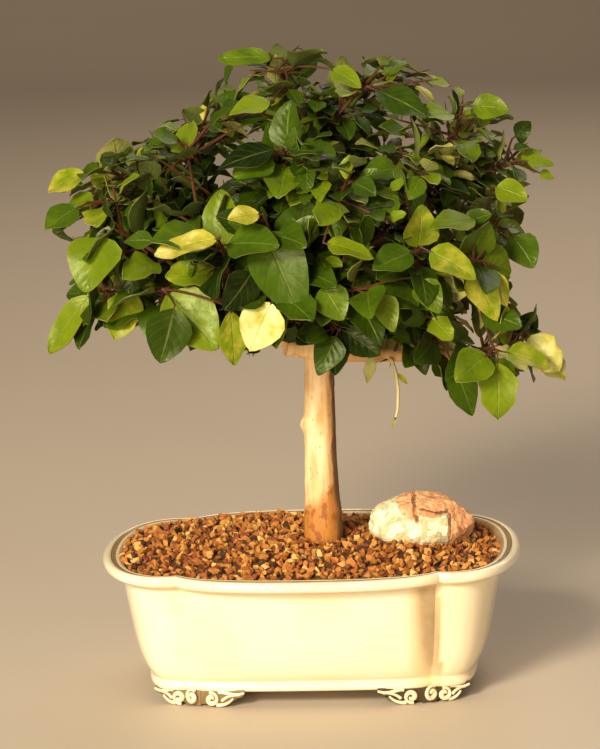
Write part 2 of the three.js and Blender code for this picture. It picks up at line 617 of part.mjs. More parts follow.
// Every spray's twig first, then leaf after leaf, each where it is clear of all that is there.
function makeSprays(sprays, tree) {
  for (const spray of sprays) {
    spray.rings = twigRings(spray);
    spray.twig = loft(spray.rings);
    spray.leaves = [];
  }
  for (const leaf of [LEAVES - 1, ...Array(LEAVES - 1).keys()]) {
    for (const spray of sprays) {
      const others = sprays.filter((other) => other !== spray);
      const grown = others.flatMap(({ twig, leaves }) => [twig, ...leaves.map(({ solid }) => solid)]);
      const solids = [tree, ...grown];
      for (let attempt = 0; attempt < LEAF_TRIES; attempt++) {
        const pose = leafPose(spray, leaf, attempt);
        if (!pose.fits) continue;
        const wide = leafSolid(pose, LEAF_CLEARANCE);
        if (solids.some((solid) => crosses(wide, solid))) continue;
        const blade = bladeSolid(pose, LEAF_CLEARANCE);
        const own = [spray.twig, ...spray.leaves.map(({ solid }) => solid)];
        if (own.some((solid) => crosses(blade, solid))) continue;
        pose.solid = leafSolid(pose, 0);
        if (spray.leaves.some((other) => crosses(pose.solid, other.blade))) continue;
        pose.blade = bladeSolid(pose, 0);
        spray.leaves.push(pose);
        break;
      }
    }
  }
  return sprays.map(({ rings, leaves }) => spraySolid(rings, leaves));
}

// Soil: fills the pot up to its mound, with holes for the trunk, the stone and the drain meshes.
function makeSoil(inside) {
  const draw = seeded(SOIL_SEED);
  const rings = SOIL_SIDES.map(([inset, z]) => outlineRing(inset, z));
  const edge = potOutline(SOIL_EDGE_INSET);
  for (let r = 0; r < SOIL_RINGS; r++) {
    const share = 1 - r / SOIL_RINGS;
    const height = SOIL_EDGE_Z + SOIL_MOUND * (1 - share * share);
    const rough = r ? SOIL_ROUGHNESS : 0;
    rings.push(edge.map(([x, y]) => V(x * share, y * share, height + rough * (draw() - 0.5) * 2)));
  }
  let soil = loft(rings);
  for (const solid of inside) soil = soil.subtract(solid);
  return soil;
}

const sprays = SPRAYS.map((row, number) => ({ ...sprayCurve(row), size: row[3], number }));
const tree = makeTree(sprays);
const spraySolids = makeSprays(sprays, tree);
const stone = makeStone(0);
const netPocket = NET.size + 2 * SEAT_GAP;
const netPockets = [-1, 1].map((side) => (
  boxSolid(netPocket, netPocket, 4 * NET.thickness, side * DRAIN_HOLE_X, 0, POT_FLOOR_Z)
));

const pieces = [
  ['pot', makePot(), GLAZE],
  ['soil', makeSoil([makeTrunk(SEAT_GAP), makeStone(SEAT_GAP + 0.1), ...netPockets]), GRAVEL],
  ['drain_mesh_left', makeDrainMesh(-DRAIN_HOLE_X), MESH_PLASTIC],
  ['drain_mesh_right', makeDrainMesh(DRAIN_HOLE_X), MESH_PLASTIC],
  ['accent_stone', stone, QUARTZ],
  ['trunk_and_limbs', tree, BARK],
];
spraySolids.forEach((solid, number) => {
  pieces.push([`spray_${String(number + 1).padStart(2, '0')}`, solid, FOLIAGE]);
});

const bonsai = new THREE.Group();
for (const [name, solid, material] of pieces) {
  const mesh = new THREE.Mesh(toGeometry(solid), material);
  mesh.name = name;
  bonsai.add(mesh);
}

// The origin is the middle of the whole plant's box, at its lowest point.
const box = new THREE.Box3().setFromObject(bonsai);
const middle = box.getCenter(V(0, 0, 0));
bonsai.position.set(-middle.x, -middle.y, -box.min.z);
bonsai.updateMatrixWorld(true);

export default bonsai;
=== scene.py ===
"""Dresses the potted bonsai: glazed pot, gravel, stone, bark and glossy leaves on a pale studio floor."""
import math
import random
from itertools import product

import bmesh
import bpy
from bmesh.types import BMEdge, BMFace, BMVert
from mathutils import Matrix, Quaternion, Vector, noise
from mathutils.kdtree import KDTree


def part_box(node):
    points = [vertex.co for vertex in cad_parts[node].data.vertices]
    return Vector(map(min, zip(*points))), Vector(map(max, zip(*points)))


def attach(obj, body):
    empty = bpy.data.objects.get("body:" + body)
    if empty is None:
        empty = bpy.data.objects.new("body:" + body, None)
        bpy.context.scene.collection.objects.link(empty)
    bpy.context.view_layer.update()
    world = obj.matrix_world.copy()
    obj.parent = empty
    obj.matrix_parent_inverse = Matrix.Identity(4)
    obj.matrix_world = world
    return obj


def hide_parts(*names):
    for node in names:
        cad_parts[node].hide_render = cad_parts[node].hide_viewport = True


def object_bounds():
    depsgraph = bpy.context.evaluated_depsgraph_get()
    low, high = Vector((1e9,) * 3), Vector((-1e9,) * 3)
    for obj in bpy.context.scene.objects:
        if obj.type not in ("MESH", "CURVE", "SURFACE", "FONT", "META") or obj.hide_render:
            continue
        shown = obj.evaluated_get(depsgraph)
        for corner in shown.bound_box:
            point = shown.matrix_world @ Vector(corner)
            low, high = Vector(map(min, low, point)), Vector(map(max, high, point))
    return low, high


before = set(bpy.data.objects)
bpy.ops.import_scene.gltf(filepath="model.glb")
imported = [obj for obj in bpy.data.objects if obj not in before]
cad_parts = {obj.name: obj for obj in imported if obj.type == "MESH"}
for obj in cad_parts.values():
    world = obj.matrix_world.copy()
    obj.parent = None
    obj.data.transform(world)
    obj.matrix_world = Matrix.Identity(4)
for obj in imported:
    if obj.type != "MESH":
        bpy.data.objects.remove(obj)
CAD_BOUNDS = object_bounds()

bl_info = {
    "name": "Parrots beak bonsai",
    "version": (1, 0, 0),
    "blender": (4, 5, 0),
    "location": "3D View > Sidebar > Bonsai",
    "description": "A broadleaf bonsai in a lobed, glazed pot with gravel and a stone",
    "category": "Add Mesh",
}

# Everything is laid out in millimetres round the middle of the pot, then placed where the frame has it.
MM = 0.001
POT_LOW, POT_HIGH = (Vector(corner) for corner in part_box("pot"))
POT_MIDDLE = Vector(((POT_LOW.x + POT_HIGH.x) / 2, (POT_LOW.y + POT_HIGH.y) / 2, 0))
TO_METRES = Matrix.Translation(POT_MIDDLE) @ Matrix.Scale(MM, 4)
UP = Vector((0, 0, 1))

# Pot: half sizes at the lip, the crease between its lobes, and the wall's profile as inset and height.
POT_HALF_LENGTH = (POT_HIGH.x - POT_LOW.x) / 2 / MM
POT_HALF_DEPTH = (POT_HIGH.y - POT_LOW.y) / 2 / MM
CREASE = (63, 55)
END_LOBE = ((POT_HALF_LENGTH, 0), (POT_HALF_LENGTH, 36), (86, 61), CREASE)
LONG_LOBE = (CREASE, (53, 65.5), (34, POT_HALF_DEPTH), (0, POT_HALF_DEPTH))
END_LOBE_STEPS = 26
LONG_LOBE_STEPS = 20
LIP_TOP = (POT_HIGH.z - POT_LOW.z) / MM
POT_BASE = 7.5
POT_FLOOR = 13
POT_WALL = [
    (34, POT_BASE + 1.2), (29, POT_BASE + 1.2), (26, POT_BASE), (23.5, POT_BASE), (22, 8.6), (21.8, 10.2),
    (22.6, 11.6), (23, 12.9), (20.8, 15.2), (18.6, 18.6), (16.4, 24), (14.6, 31), (13.2, 38), (11.2, 49),
    (9.9, 57), (9.5, 60.9), (5.4, 62), (2.4, 62.7), (0.7, 63.5), (0.05, 65), (0.2, 66.5), (1.1, 67.6),
    (2.6, LIP_TOP), (4, 67.9), (4.5, 67.3), (6.2, 67.2), (6.7, 67.7), (8.4, 67.6), (9.6, 67.1),
    (10.2, 66.2), (11.5, 64), (14.5, 59), (18, 38), (24, 18), (34, POT_FLOOR),
]
GROOVE = (4, 6.8)
# Past this inset the lip's inner slope is darkened as painted shade.
LIP_INSIDE = 8.3
# How much painted shade browns the glaze at the left-hand and at the right-hand creases.
CREASE_SHADE = (0.06, 0.72)
# How much painted shade tints the glaze peach on the lobe at the right.
LOBE_SHADE = 0.17
# Brown on the top of the lip round the left end: partly its olive tint, partly painted shade.
LIP_TINT_AND_SHADE = 0.3
# Where the lip's inside begins and where the wall ends under the lip.
LIP_FROM = 66
WALL_TOP = 61
# Brown bands all round, painted shade under the lip and a darker band above the base bead: how brown, at what
# height, and over how much of it.
NECK_SHADE = (0.3, 60.6, 1.2)
BEAD_BAND = (0.34, 13.6, 1)
# A crease's painted shade lies this far from its corner, and spreads this wide.
CREASE_REACH = (8, 6.5)
CORNER_ROUND = 0.36
DRAIN_HOLE_X = 38
DRAIN_HOLE_RADIUS = 6
DRAIN_HOLE_DEPTH = 14

# Feet: scalloped brackets round each crease, with scrolls on their faces.
FOOT_CORNER = Vector((57, 43.5, 0))
FOOT_LONG_END = Vector((32, 48, 0))
FOOT_SHORT_END = Vector((76, 38, 0))
FOOT_THICKNESS = 6.5
FOOT_TOP = 9
# A wing's lower edge: the share of its length, and the height.
FOOT_SCALLOPS = [
    (0.36, 0), (0.44, 0.7), (0.47, 2.2), (0.55, 1.2), (0.66, 1.3), (0.71, 3.2), (0.76, 4.4), (0.85, 4.2),
    (0.95, 5.4), (0.99, 7.2), (1, FOOT_TOP),
]
# How far a wing reaches back past its corner, and how round its edges are.
FOOT_BEHIND = -3.6
FOOT_ROUND = 0.55
# Raised strands on a wing: their thickness, and the places along and up the wing that each is drawn by.
FOOT_STRANDS = [
    (1, ((0.5, 7.9), (0.66, 8.4), (0.74, 5.2), (1, 7.7))),
    (0.85, ((0.46, 1.2), (0.58, 0.9), (0.7, 2.2), (0.78, 4.8))),
    (0.7, ((0.56, 3.4), (0.64, 5.6), (0.76, 6.6), (0.9, 6.4))),
]
# How brown the hollows of the feet are at the left and at the right, pooled glaze and painted shade that runs
# to near-black painted shadow, more at the right; and their scrolls.
FOOT_HOLLOW_SHADE = (1.15, 1.42)
SCROLL_STAIN = 0.2
# A scroll's eye as a share of its radius, its steps in a turn, and its sides.
SCROLL_EYE = 0.16
SCROLL_TURN_STEPS = 14
SCROLL_SIDES = 8
STRAND_STEPS = 8

# Soil: its edge, its mound, and where the trunk and the stone stand in it.
SOIL_EDGE = 65.4
SOIL_EDGE_INSET = 11
SOIL_MOUND = 6.6
# The bank of gravel at the back: its height, where it starts, and its middle and half width along the pot.
SOIL_BANK = 2.8
SOIL_BANK_FROM = 12
SOIL_BANK_RUN = 26
SOIL_BANK_MIDDLE = -28
SOIL_BANK_HALF = 44
# It also rises a little towards the left end, from this place on.
SOIL_LEFT_RISE = 1.6
SOIL_LEFT_FROM = 55
SOIL_LEFT_RUN = 25
# The mound's rings, and the steps along its end lobes and its long ones.
SOIL_STEPS = 16
SOIL_OUTLINE = (16, 12)
# The bed lies this far below the gravel's level.
BED_BELOW = 1.2
SOIL_SIDES = [(34.7, 13.4), (24.6, 18.4), (18.5, 38), (15, 59)]
STONE_CENTRE = Vector((54, 8, 76))
STONE_HALF = Vector((26.5, 18.5, 15.5))
STONE_FACES = [
    ((-0.05, -1, 0.25), 0.84), ((0.75, -0.55, 0.35), 0.86), ((-0.7, -0.6, 0.4), 0.82),
    ((0.1, -0.25, 1), 0.9), ((-0.55, 0.1, 0.85), 0.92), ((0.8, 0.2, 0.55), 0.85), ((0, 1, 0.2), 0.86),
    ((-1, 0.2, 0), 0.9), ((0, 0, -1), 0.72),
]
STONE_CHIPS = 70
STONE_SEED = 4
# The most that the stone reaches, as a share of its half sizes.
STONE_MOST = 0.995
# The block of pale crystal that stands out at the front: left, right, bottom and top from the middle.
STONE_BLOCK = (0.5, 13.4, -6, 7.2)

# Grains: how many shapes, the points that each is the hull of, and how clear they stay of trunk and stone.
GRAIN_KINDS = 14
GRAIN_POINTS = 10
GRAIN_STRAY = (-0.45, 0.45)
GRAINS_TO = 1.01
TRUNK_CLEAR = 0.8
STONE_CLEAR = 0.93

# The place that the camera looks at.
CAMERA_AIM = Vector((-3.1, 0, 153.4))

# Trunk: centre and radius at each height.
TRUNK = [
    (6.5, 0, 36, 7.8), (6.5, 0, 76, 9.6), (6.4, 0, 92, 9), (6.2, 0, 124, 8.1), (6.5, 0, 158, 7.4),
    (6.8, 0, 176, 6.8), (6, 1, 205, 5.2), (4, 2, 235, 3.8), (3, 0, 262, 2.6),
]
# The shown bark stands a little inside the plain trunk, mostly on its right.
BARK_SHARE = 0.945
BARK_SHIFT = Vector((-0.45, 0, 0))
TRUNK_SIDES = 40
TRUNK_STEPS = 120
# The height where the bark meets the plain trunk again, and over how much of it.
BARK_TOP = 180
BARK_RUN = 20
# The foot: how far it flares, at what height, and over how much of it.
FLARE = (0.7, 74, 7)
# The knob and old scars: their middles, how wide they spread and how far they stand out.
KNOBS = [
    (Vector((-2.4, -2, 129)), 3.4, 2.6), (Vector((14.6, -3, 150)), 3, 1), (Vector((2, -8.5, 152)), 2.2, 0.9),
    (Vector((15, -4, 86)), 5, 0.9), (Vector((-1.5, -5, 98)), 4, 0.6), (Vector((10, -7, 176)), 3.4, 1.6),
]
STUB_FROM = Vector((4, -3, 167))
STUB_TO = Vector((-9.5, -8, 168.5))
STUB_RADIUS = 4.1
# Its places from end to end, and its width there: a collar, then a slightly sunk, sawn face.
STUB_STEPS = [
    (0, 1.5), (0.35, 1.25), (0.6, 1.02), (0.8, 1), (0.93, 1.06), (0.985, 0.98), (1, 0.8), (0.97, 0.55),
]
STUB_SIDES = 18
# Limbs: the seed of their slight wander, their steps and their sides.
LIMB_SEED = 1
LIMB_STEPS = 16
LIMB_SIDES = 10
# How much thicker a limb is where it leaves the trunk, and over how many steps.
LIMB_COLLAR = (0.9, 1.5)
BRANCHLET_STEPS = 8
BRANCHLET_SIDES = 7

# Main limbs: start on the trunk, control point, end, radius at the start and at the end.
LIMBS = {
    "right_low": ((6.6, 0, 164), (48, -24, 165), (94, -40, 172), 3.8, 2.2),
    "right_back": ((6.8, 0, 172), (40, 26, 174), (72, 42, 188), 3.4, 2.2),
    "left_low": ((6.7, 0, 170), (-36, -14, 172), (-84, -18, 194), 3.8, 2.2),
    "left_back": ((6.8, 0, 178), (-30, 28, 178), (-64, 44, 194), 3.2, 2.2),
    "front_left": ((6.6, 0, 182), (-18, -40, 186), (-44, -52, 206), 3, 2.2),
    "front": ((6.6, 0, 176), (10, -36, 182), (4, -60, 200), 3, 2.2),
    "front_right": ((6.4, 0, 186), (34, -34, 192), (56, -50, 208), 3, 2.2),
    "back": ((6.6, 0, 180), (14, 34, 186), (6, 66, 204), 3.2, 2.2),
    "right_high": ((5.8, 1, 206), (40, 0, 216), (70, 0, 240), 3.2, 2.2),
    "left_high": ((5.4, 1, 210), (-34, 0, 220), (-64, 4, 242), 3.2, 2.2),
    "back_high": ((4.6, 2, 220), (18, 30, 228), (14, 50, 248), 2.8, 2.2),
    "front_high": ((4.4, 2, 224), (-6, -26, 236), (2, -46, 254), 2.8, 2.2),
}

# Leafy sprays: the limb (or the trunk), how far along it, the twig's tip, and the leaf length.
SPRAYS = [
    ("left_low", 1, (-98, -26, 203), 24), ("left_low", 0.82, (-62, -64, 209), 24),
    ("front", 1, (-9, -85, 209), 23), ("front", 0.95, (38, -82, 211), 21),
    ("right_low", 0.86, (92, -60, 176), 24), ("right_low", 1, (105, -34, 176), 22),
    ("right_back", 1, (94, 32, 186), 21), ("right_back", 0.72, (54, 76, 190), 22),
    ("back", 0.8, (6, 90, 194), 24), ("left_back", 0.85, (-50, 76, 194), 24),
    ("left_back", 1, (-98, 34, 202), 23), ("front", 0.45, (19, -62, 188), 20),
    ("right_low", 0.5, (66, -44, 180), 18), ("left_high", 0.62, (-100, -24, 244), 23),
    ("front_left", 1, (-89, -46, 236), 25), ("front_left", 0.7, (-34, -86, 236), 25),
    ("front", 1, (-12, -84, 241), 24), ("front_right", 0.9, (58, -80, 229), 21),
    ("front_right", 1, (86, -58, 218), 20), ("right_high", 0.6, (98, -26, 227), 18),
    ("right_back", 0.95, (90, 52, 224), 20), ("back", 0.9, (42, 86, 228), 21),
    ("back", 1, (-14, 94, 230), 23), ("left_back", 0.9, (-62, 74, 228), 24),
    ("left_high", 0.75, (-98, 40, 234), 23), ("left_high", 1, (-98, -8, 257), 20),
    ("front_left", 0.95, (-50, -50, 274), 21), ("front_high", 0.85, (-4, -74, 275), 21),
    ("right_high", 0.9, (50, -60, 264), 19), ("right_high", 1, (104, -8, 257), 16),
    ("right_high", 0.85, (84, 24, 276), 17), ("back_high", 0.9, (4, 68, 266), 21),
    ("left_high", 0.9, (-54, 46, 266), 20), ("trunk", 0.96, (-6, -16, 309), 20),
    ("trunk", 1, (34, -26, 296), 17), ("right_high", 0.98, (78, -32, 287), 17),
    ("back_high", 1, (30, 28, 294), 19), ("left_high", 0.98, (-34, 18, 286), 19),
    ("front_high", 1, (26, -84, 250), 20),
]
TWIG_LENGTH = 46
TWIG_CORNERS = 4
BRANCHLET_RADIUS = 1.45
TWIG_RADIUS = 1.3
TWIG_TIP_RADIUS = 0.85
TWIG_GAP = 0.3
TWIG_STEPS = 9
TWIG_SIDES = 6
# The dressed twigs and blades are a little slimmer than the solids' own.
TWIG_LOOK = 0.8
BLADE_LOOK = 0.97
NODE_LENGTH = 1.8
ARCH = 0.1

# The rule by which leaves grow, the same as the solids follow.
PAIR_AT = (0.18, 0.5, 0.82)
LEAVES = 2 * len(PAIR_AT) + 1
LEAF_THICKNESS = 0.8
LEAF_WIDTH = 0.8
STALK_LENGTH = 5
LEAF_TRIES = 9
LEAF_FOLD = 0.28
LEAF_CURL = 0.16
SHOWN_FOLD = 0.16
LEAF_SEED = {"first": 11, "spray": 997, "leaf": 61, "attempt": 7}
# How far a leaf leans along its twig, away from the crown and down, and how its blade faces.
LEAN = {"along": 0.5, "outward": 0.25, "down": 0.1, "down_more": 0.4, "down_low": 0.15, "stray": 0.12}
FACING = {"outward": 0.75, "up": 0.7, "stray": 0.9}
# Leaf sizes: the least share of the full size, how much it varies, and the loss at each new try.
SIZE = {"least": 0.84, "varies": 0.32, "loss": 0.05}
WIDTH = {"least": 0.9, "varies": 0.25}
STALK = {"least": 0.8, "varies": 0.5}
# How near to a vertex of the solid a leaf's tip has to lie.
TIP_NEAR = 0.06
CROWN_CENTRE = Vector((3, 0, 212))
LOW_CROWN = 205
# Leaves at the front whose tip and facing are set one by one, by spray and leaf.
FRONT_LEAVES = {
    (0, 6): ((-123, -31, 174), (-0.3, -0.8, 0.4)), (1, 6): ((-37, -83, 186), (0.1, -1, 0.35)),
    (1, 4): ((-62, -75, 180), (-0.2, -1, 0.3)), (2, 6): ((-21, -92, 185), (0.1, -1, 0.45)),
    (3, 6): ((45, -92, 193), (0.1, -1, 0.4)), (4, 6): ((92, -70, 146), (0.1, -1, 0.3)),
    (5, 6): ((124, -48, 161), (0.4, -0.8, 0.5)), (11, 6): ((9, -72, 169), (0, -1, 0.3)),
    (12, 6): ((80, -46, 147), (0.3, -1, 0.2)), (13, 6): ((-119, -38, 236), (-0.3, -0.7, 0.6)),
    (14, 6): ((-99, -62, 213), (-0.2, -1, 0.4)), (15, 6): ((-63, -86, 231), (0, -0.4, 1)),
    (16, 6): ((3, -98, 202), (0.1, -1, 0.35)), (17, 6): ((83, -90, 218), (0.2, -0.7, 0.7)),
    (18, 6): ((97, -67, 199), (0.3, -1, 0.2)), (19, 6): ((110, -38, 212), (0.3, -1, 0.3)),
    (25, 6): ((-121, -14, 250), (-0.3, -0.6, 0.8)), (26, 6): ((-64, -58, 282), (-0.2, -0.6, 0.8)),
    (27, 6): ((-34, -82, 270), (-0.1, -0.6, 0.8)), (29, 6): ((121, -10, 256), (0.2, -0.7, 0.8)),
    (33, 6): ((-36, -20, 312), (0, -0.8, 0.7)), (34, 6): ((61, -46, 287), (0.2, -0.8, 0.6)),
    (35, 6): ((99, -38, 286), (0.1, -0.9, 0.5)),
}

# Leaf blades: rows from base to tip, and the half width at each row for every leaf shape.
BLADE_ROWS = (0, 0.07, 0.2, 0.36, 0.54, 0.72, 0.87, 0.96, 1)
BLADE_SHAPES = {
    "round": (0.08, 0.46, 0.86, 1.02, 1, 0.82, 0.52, 0.27, 0.06),
    "egg": (0.08, 0.5, 0.9, 1, 0.9, 0.68, 0.4, 0.2, 0.05),
    "broad": (0.1, 0.62, 1, 1.08, 1, 0.76, 0.46, 0.24, 0.06),
    "lobed": (0.06, 0.4, 0.78, 1.04, 0.84, 0.8, 0.46, 0.22, 0.05),
    "slim": (0.06, 0.36, 0.7, 0.88, 0.88, 0.7, 0.42, 0.21, 0.05),
}
SMALL_ROWS = (0, 0.1, 0.32, 0.58, 0.82, 0.95, 1)
SMALL_SHAPES = {
    "small_round": (0.08, 0.58, 0.98, 1, 0.66, 0.3, 0.06),
    "small_egg": (0.08, 0.6, 0.98, 0.88, 0.5, 0.22, 0.05),
    "small_lobed": (0.06, 0.5, 1, 0.8, 0.62, 0.26, 0.05),
    "small_slim": (0.06, 0.42, 0.84, 0.84, 0.5, 0.22, 0.05),
}
SMALL_STALK = 0.28
# Across a large blade and a small one: columns and thickness. Then the wave of their edges.
BLADE_COLUMNS = 4
SMALL_COLUMNS = 2
BLADE_THICK = 0.02
SMALL_THICK = 0.03
BLADE_WAVE = 0.045
STALK_SIDES = 5

# The leaves that show at the front of the crown: spray and leaf, shape, tone, and how wide it is.
# Their tones also paint the light and shade on each: the palest are painted highlights, the darkest painted
# shade.
FRONT_LOOKS = {
    (0, 6): ("slim", 0.8, 0.62), (1, 6): ("round", 0.77, 0.95), (2, 6): ("round", 1.06, 1.1),
    (3, 6): ("egg", 0.74, 0.9), (4, 6): ("lobed", 0.8, 1), (5, 6): ("lobed", 1.02, 0.92),
    (11, 6): ("egg", 0.28, 1), (13, 6): ("round", 0.52, 1.05), (17, 6): ("egg", 0.9, 0.9),
    (18, 6): ("slim", 0.96, 0.8), (19, 6): ("round", 0.52, 1.15), (25, 6): ("round", 0.93, 1),
    (26, 6): ("round", 0.5, 1), (27, 6): ("egg", 0, 0.75), (29, 6): ("egg", 0.78, 0.8),
    (33, 6): ("slim", 0.6, 0.6), (34, 6): ("slim", 0.26, 0.75), (35, 6): ("round", 0.66, 0.95),
}
# More leaves that show there: the spray and the place on it that they grow from, their base, tip and face,
# and their shape, tone and width. Their tones also paint the light and shade on each, as above.
SHOWN_LEAVES = [
    (14, 0.97, (-89, -60, 235), (-98, -77, 213), (-0.3, -1, 0.35), "broad", 0.72, 0.95),
    (15, 0.97, (-32, -97, 238), (-63, -96, 234), (-0.1, -0.6, 1), "slim", 0.98, 0.6),
    (16, 0.97, (-13, -84, 239), (3, -97, 201), (-0.1, -1, 0.3), "broad", 0.47, 0.62),
    (1, 0.85, (-55, -82, 205), (-62, -88, 179), (0.2, -1, 0.05), "round", 0.25, 0.8),
    (12, 0.9, (70, -42, 169), (81, -46, 142), (0.3, -1, 0.2), "slim", 0.48, 0.6),
    (16, 0.8, (-18, -86, 222), (-30, -94, 204), (0.6, -1, -0.1), "round", 0.04, 0.85),
    (1, 0.99, (-30, -80, 203), (-28, -80, 175), (0.3, -1, 0.1), "slim", 0.9, 0.6),
    (15, 0.75, (-63, -72, 233), (-79, -70, 234), (0, -0.8, 0.8), "egg", 0.46, 0.75),
    (16, 0.9, (-13, -88, 247), (-28, -96, 248), (0, -0.7, 0.9), "round", 1, 0.8),
    (38, 0.8, (14, -92, 234), (37, -97, 230), (0, -0.5, 1), "egg", 0.84, 0.6),
    (18, 0.85, (83, -60, 238), (63, -76, 240), (0, -0.6, 1), "egg", 0.7, 0.7),
    (12, 0.8, (55, -44, 178), (58, -50, 163), (-0.1, -1, 0.2), "egg", 0.08, 0.75),
    (11, 0.9, (33, -30, 171), (31, -34, 156), (0.4, -1, 0.1), "slim", 1.04, 0.5),
    (4, 0.85, (84, -58, 194), (103, -66, 190), (0.1, -0.8, 0.7), "round", 0.46, 0.8),
    (29, 0.8, (101, -14, 268), (110, -14, 276), (0.3, -1, 0.4), "round", 0.3, 0.85),
    (29, 0.9, (112, -4, 251), (121, -6, 248), (0.1, -0.9, 0.6), "egg", 0.84, 0.75),
    (19, 0.8, (91, -34, 249), (107, -42, 245), (0.1, -0.9, 0.7), "round", 0.8, 0.8),
    (33, 0.9, (16, -20, 304), (31, -30, 298), (0.1, -0.8, 0.8), "egg", 0.78, 0.7),
    (33, 0.7, (-9, -52, 294), (-28, -64, 292), (-0.1, -0.7, 0.8), "egg", 0.84, 0.6),
    (2, 0.9, (12, -84, 214), (22, -92, 199), (0.1, -1, 0.4), "round", 0.62, 0.9),
    (3, 0.8, (56, -74, 214), (66, -84, 200), (0.2, -1, 0.4), "egg", 0.6, 0.8),
    (14, 0.85, (-70, -52, 224), (-80, -62, 207), (-0.2, -1, 0.4), "egg", 0.12, 0.9),
    (0, 0.8, (-78, -34, 204), (-88, -48, 184), (-0.2, -1, 0.3), "lobed", 0.9, 0.8),
    (18, 0.9, (80, -64, 216), (93, -69, 192), (0.1, -1, 0.5), "egg", 0.93, 0.62),
    (5, 0.9, (106, -44, 181), (120, -50, 163), (-0.7, -1, 0.5), "lobed", 1.03, 0.95),
]
# Leaves of the sprays that would stick out of the crown as the camera sees it: they are drawn shorter.
SHORTER = {
    (25, 2): 0.55, (5, 2): 0.7, (5, 3): 0.75, (37, 2): 0.7, (36, 6): 0.7, (18, 4): 0.8, (1, 3): 0.85,
    (22, 6): 0.985,
}

# The crown's edge as the camera sees it on the plane through the trunk: across and up.
CROWN_EDGE = [
    (-126, 168), (-112, 211), (-124, 232), (-122, 250), (-107, 259), (-95, 267), (-70, 278), (-51, 281),
    (-44, 290), (-41, 302), (-40, 315), (-12, 318), (8, 317), (20, 308), (50, 309), (64, 300), (80, 291),
    (96, 288), (109, 272), (117, 258), (112, 236), (111, 215), (99, 207), (99, 190), (116, 180), (129, 166),
    (127, 150), (110, 152), (106, 134), (90, 131), (72, 141), (64, 156), (50, 159), (33, 158), (14, 157),
    (-4, 170), (-34, 163), (-44, 168), (-67, 166), (-78, 177), (-104, 176),
]
# Windows that nearer leaves keep clear: left, right, bottom, top, and how near the wood or the hollow lies.
# The last one is the dark hollow.
OPEN_WINDOWS = [(-16, 2, 150, 171, 10), (23, 54, 150, 169, 10), (-64, -39, 236, 270, -34)]
HOLLOW_SHADE = 0.08
CROWN_HALF = Vector((108, 100, 72))
BOX_MARGIN = 1.5
# Where the crown's pieces meet: left and right of the middle ones, and below and above them.
PIECE_SIDES = (-28, 38)
PIECE_LEVELS = (212, 250)

# Large leaves: the seed of their shapes and tones.
SPRAY_SEED = 300
# Where the crown's outside begins, over how much its leaves grow lighter out of the painted shade inside, and
# the share and tones of young leaves.
OUTER_FROM = 0.45
OUTER_RUN = 0.5
YOUNG_SHARE = 0.14
YOUNG_TONES = (0.66, 0.94)
# Side shoots: how many grow on a spray, on a limb and on the top of the trunk, and along which part of each.
SPRAY_SHOOTS = 10
LIMB_SHOOTS = 18
LEADER_SHOOTS = 42
SPRAY_PART = (0.12, 0.97)
LIMB_PART = (0.3, 1)
LEADER_PART = (6.1, 8)
SHOOT_LENGTH = (10, 30)
# Longer ones towards the crown's edge: the spray and the place on it that each grows from, and its tip.
EDGE_SHOOTS = [
    (34, 0.9, (50, -24, 304)), (34, 1, (41, -14, 306)), (34, 0.95, (60, -20, 297)),
    (35, 0.85, (58, -26, 293)), (36, 0.9, (46, 4, 304)), (36, 0.8, (56, 10, 297)),
    (35, 0.6, (44, -26, 281)), (34, 0.8, (36, -34, 279)), (28, 0.9, (46, -34, 276)),
    (35, 0.5, (54, -20, 271)), (33, 0.9, (-30, -14, 313)), (33, 1, (-15, -10, 315)),
    (33, 0.95, (3, -8, 315)), (33, 0.85, (-36, -14, 304)), (33, 0.8, (-29, -20, 298)),
    (37, 0.9, (-35, -2, 296)), (26, 0.95, (-36, -36, 285)), (26, 0.9, (-28, -40, 279)),
    (37, 0.7, (-26, 0, 281)), (25, 0.95, (-114, -14, 246)), (13, 0.95, (-115, -22, 239)),
    (13, 0.9, (-109, -26, 232)),
]
EDGE_LEAF = 14
LEAF_SPACING = 3.4
LEAF_APART = 3.8
# Leaf lengths of the side shoots: as a share of the spray's own, on limbs, and on top of the trunk.
SPRAY_SHOOT_LEAF = 0.68
LIMB_SHOOT_LEAF = 15
LEADER_SHOOT_LEAF = 14
# The leaves along a shoot are turned by this much from one to the next.
LEAF_TURN = 2.4
# How far a small leaf droops, its length as a share of the shoot's leaves, and its width as one of its own.
SMALL_DROOP = (0.05, 0.6)
SMALL_LENGTH = (0.62, 1.08)
SMALL_WIDTH = (0.66, 0.92)
# The stalks of the single front leaves, and how thick their shoots are from start to end.
SHOWN_STALK = 2.5
SHOWN_SHOOT_RADII = [0.8, 0.7, 0.62, 0.55, 0.5, 0.45]
# The hanging shoot: where it leaves its limb, its drops from there, and its thickness at each.
HANGING_FROM = 0.4
HANGING_DROPS = [
    (0, 0, 0), (1.5, -6, -1), (3.5, -9, -6), (4.5, -10, -15), (4, -10, -24), (3, -10, -28),
]
HANGING_RADII = [1, 0.95, 0.9, 0.8, 0.65, 0.5]
# Its leaves: the drop that each grows from, its way, length and width.
HANGING_LEAVES = [(2, (0.7, -0.2, -0.7), 7, 3), (5, (-0.35, -0.1, -1), 4, 1.6)]
HANGING_FACE = Vector((0.2, -1, 0.3))

CREASE_ANGLE = 0.7
COLOUR = {"subtype": "COLOR", "size": 3, "min": 0, "max": 1}


class PotSettings(bpy.types.PropertyGroup):
    """The pot's glaze."""
    glaze: bpy.props.FloatVectorProperty(
        name="Glaze", description="Colour of the cream glaze", **COLOUR,
        default=(0.93, 0.83, 0.6),
    )
    # Also the colour of the painted shade in the creases, inside the rim and in the feet's hollows.
    stain_and_shade_colour: bpy.props.FloatVectorProperty(
        name="Pooled glaze", description="Colour where the glaze is thick or stained", **COLOUR,
        default=(0.24, 0.14, 0.045),
    )
    gloss: bpy.props.FloatProperty(
        name="Roughness", description="Roughness of the glaze", subtype="FACTOR", min=0, max=1, default=0.16,
    )


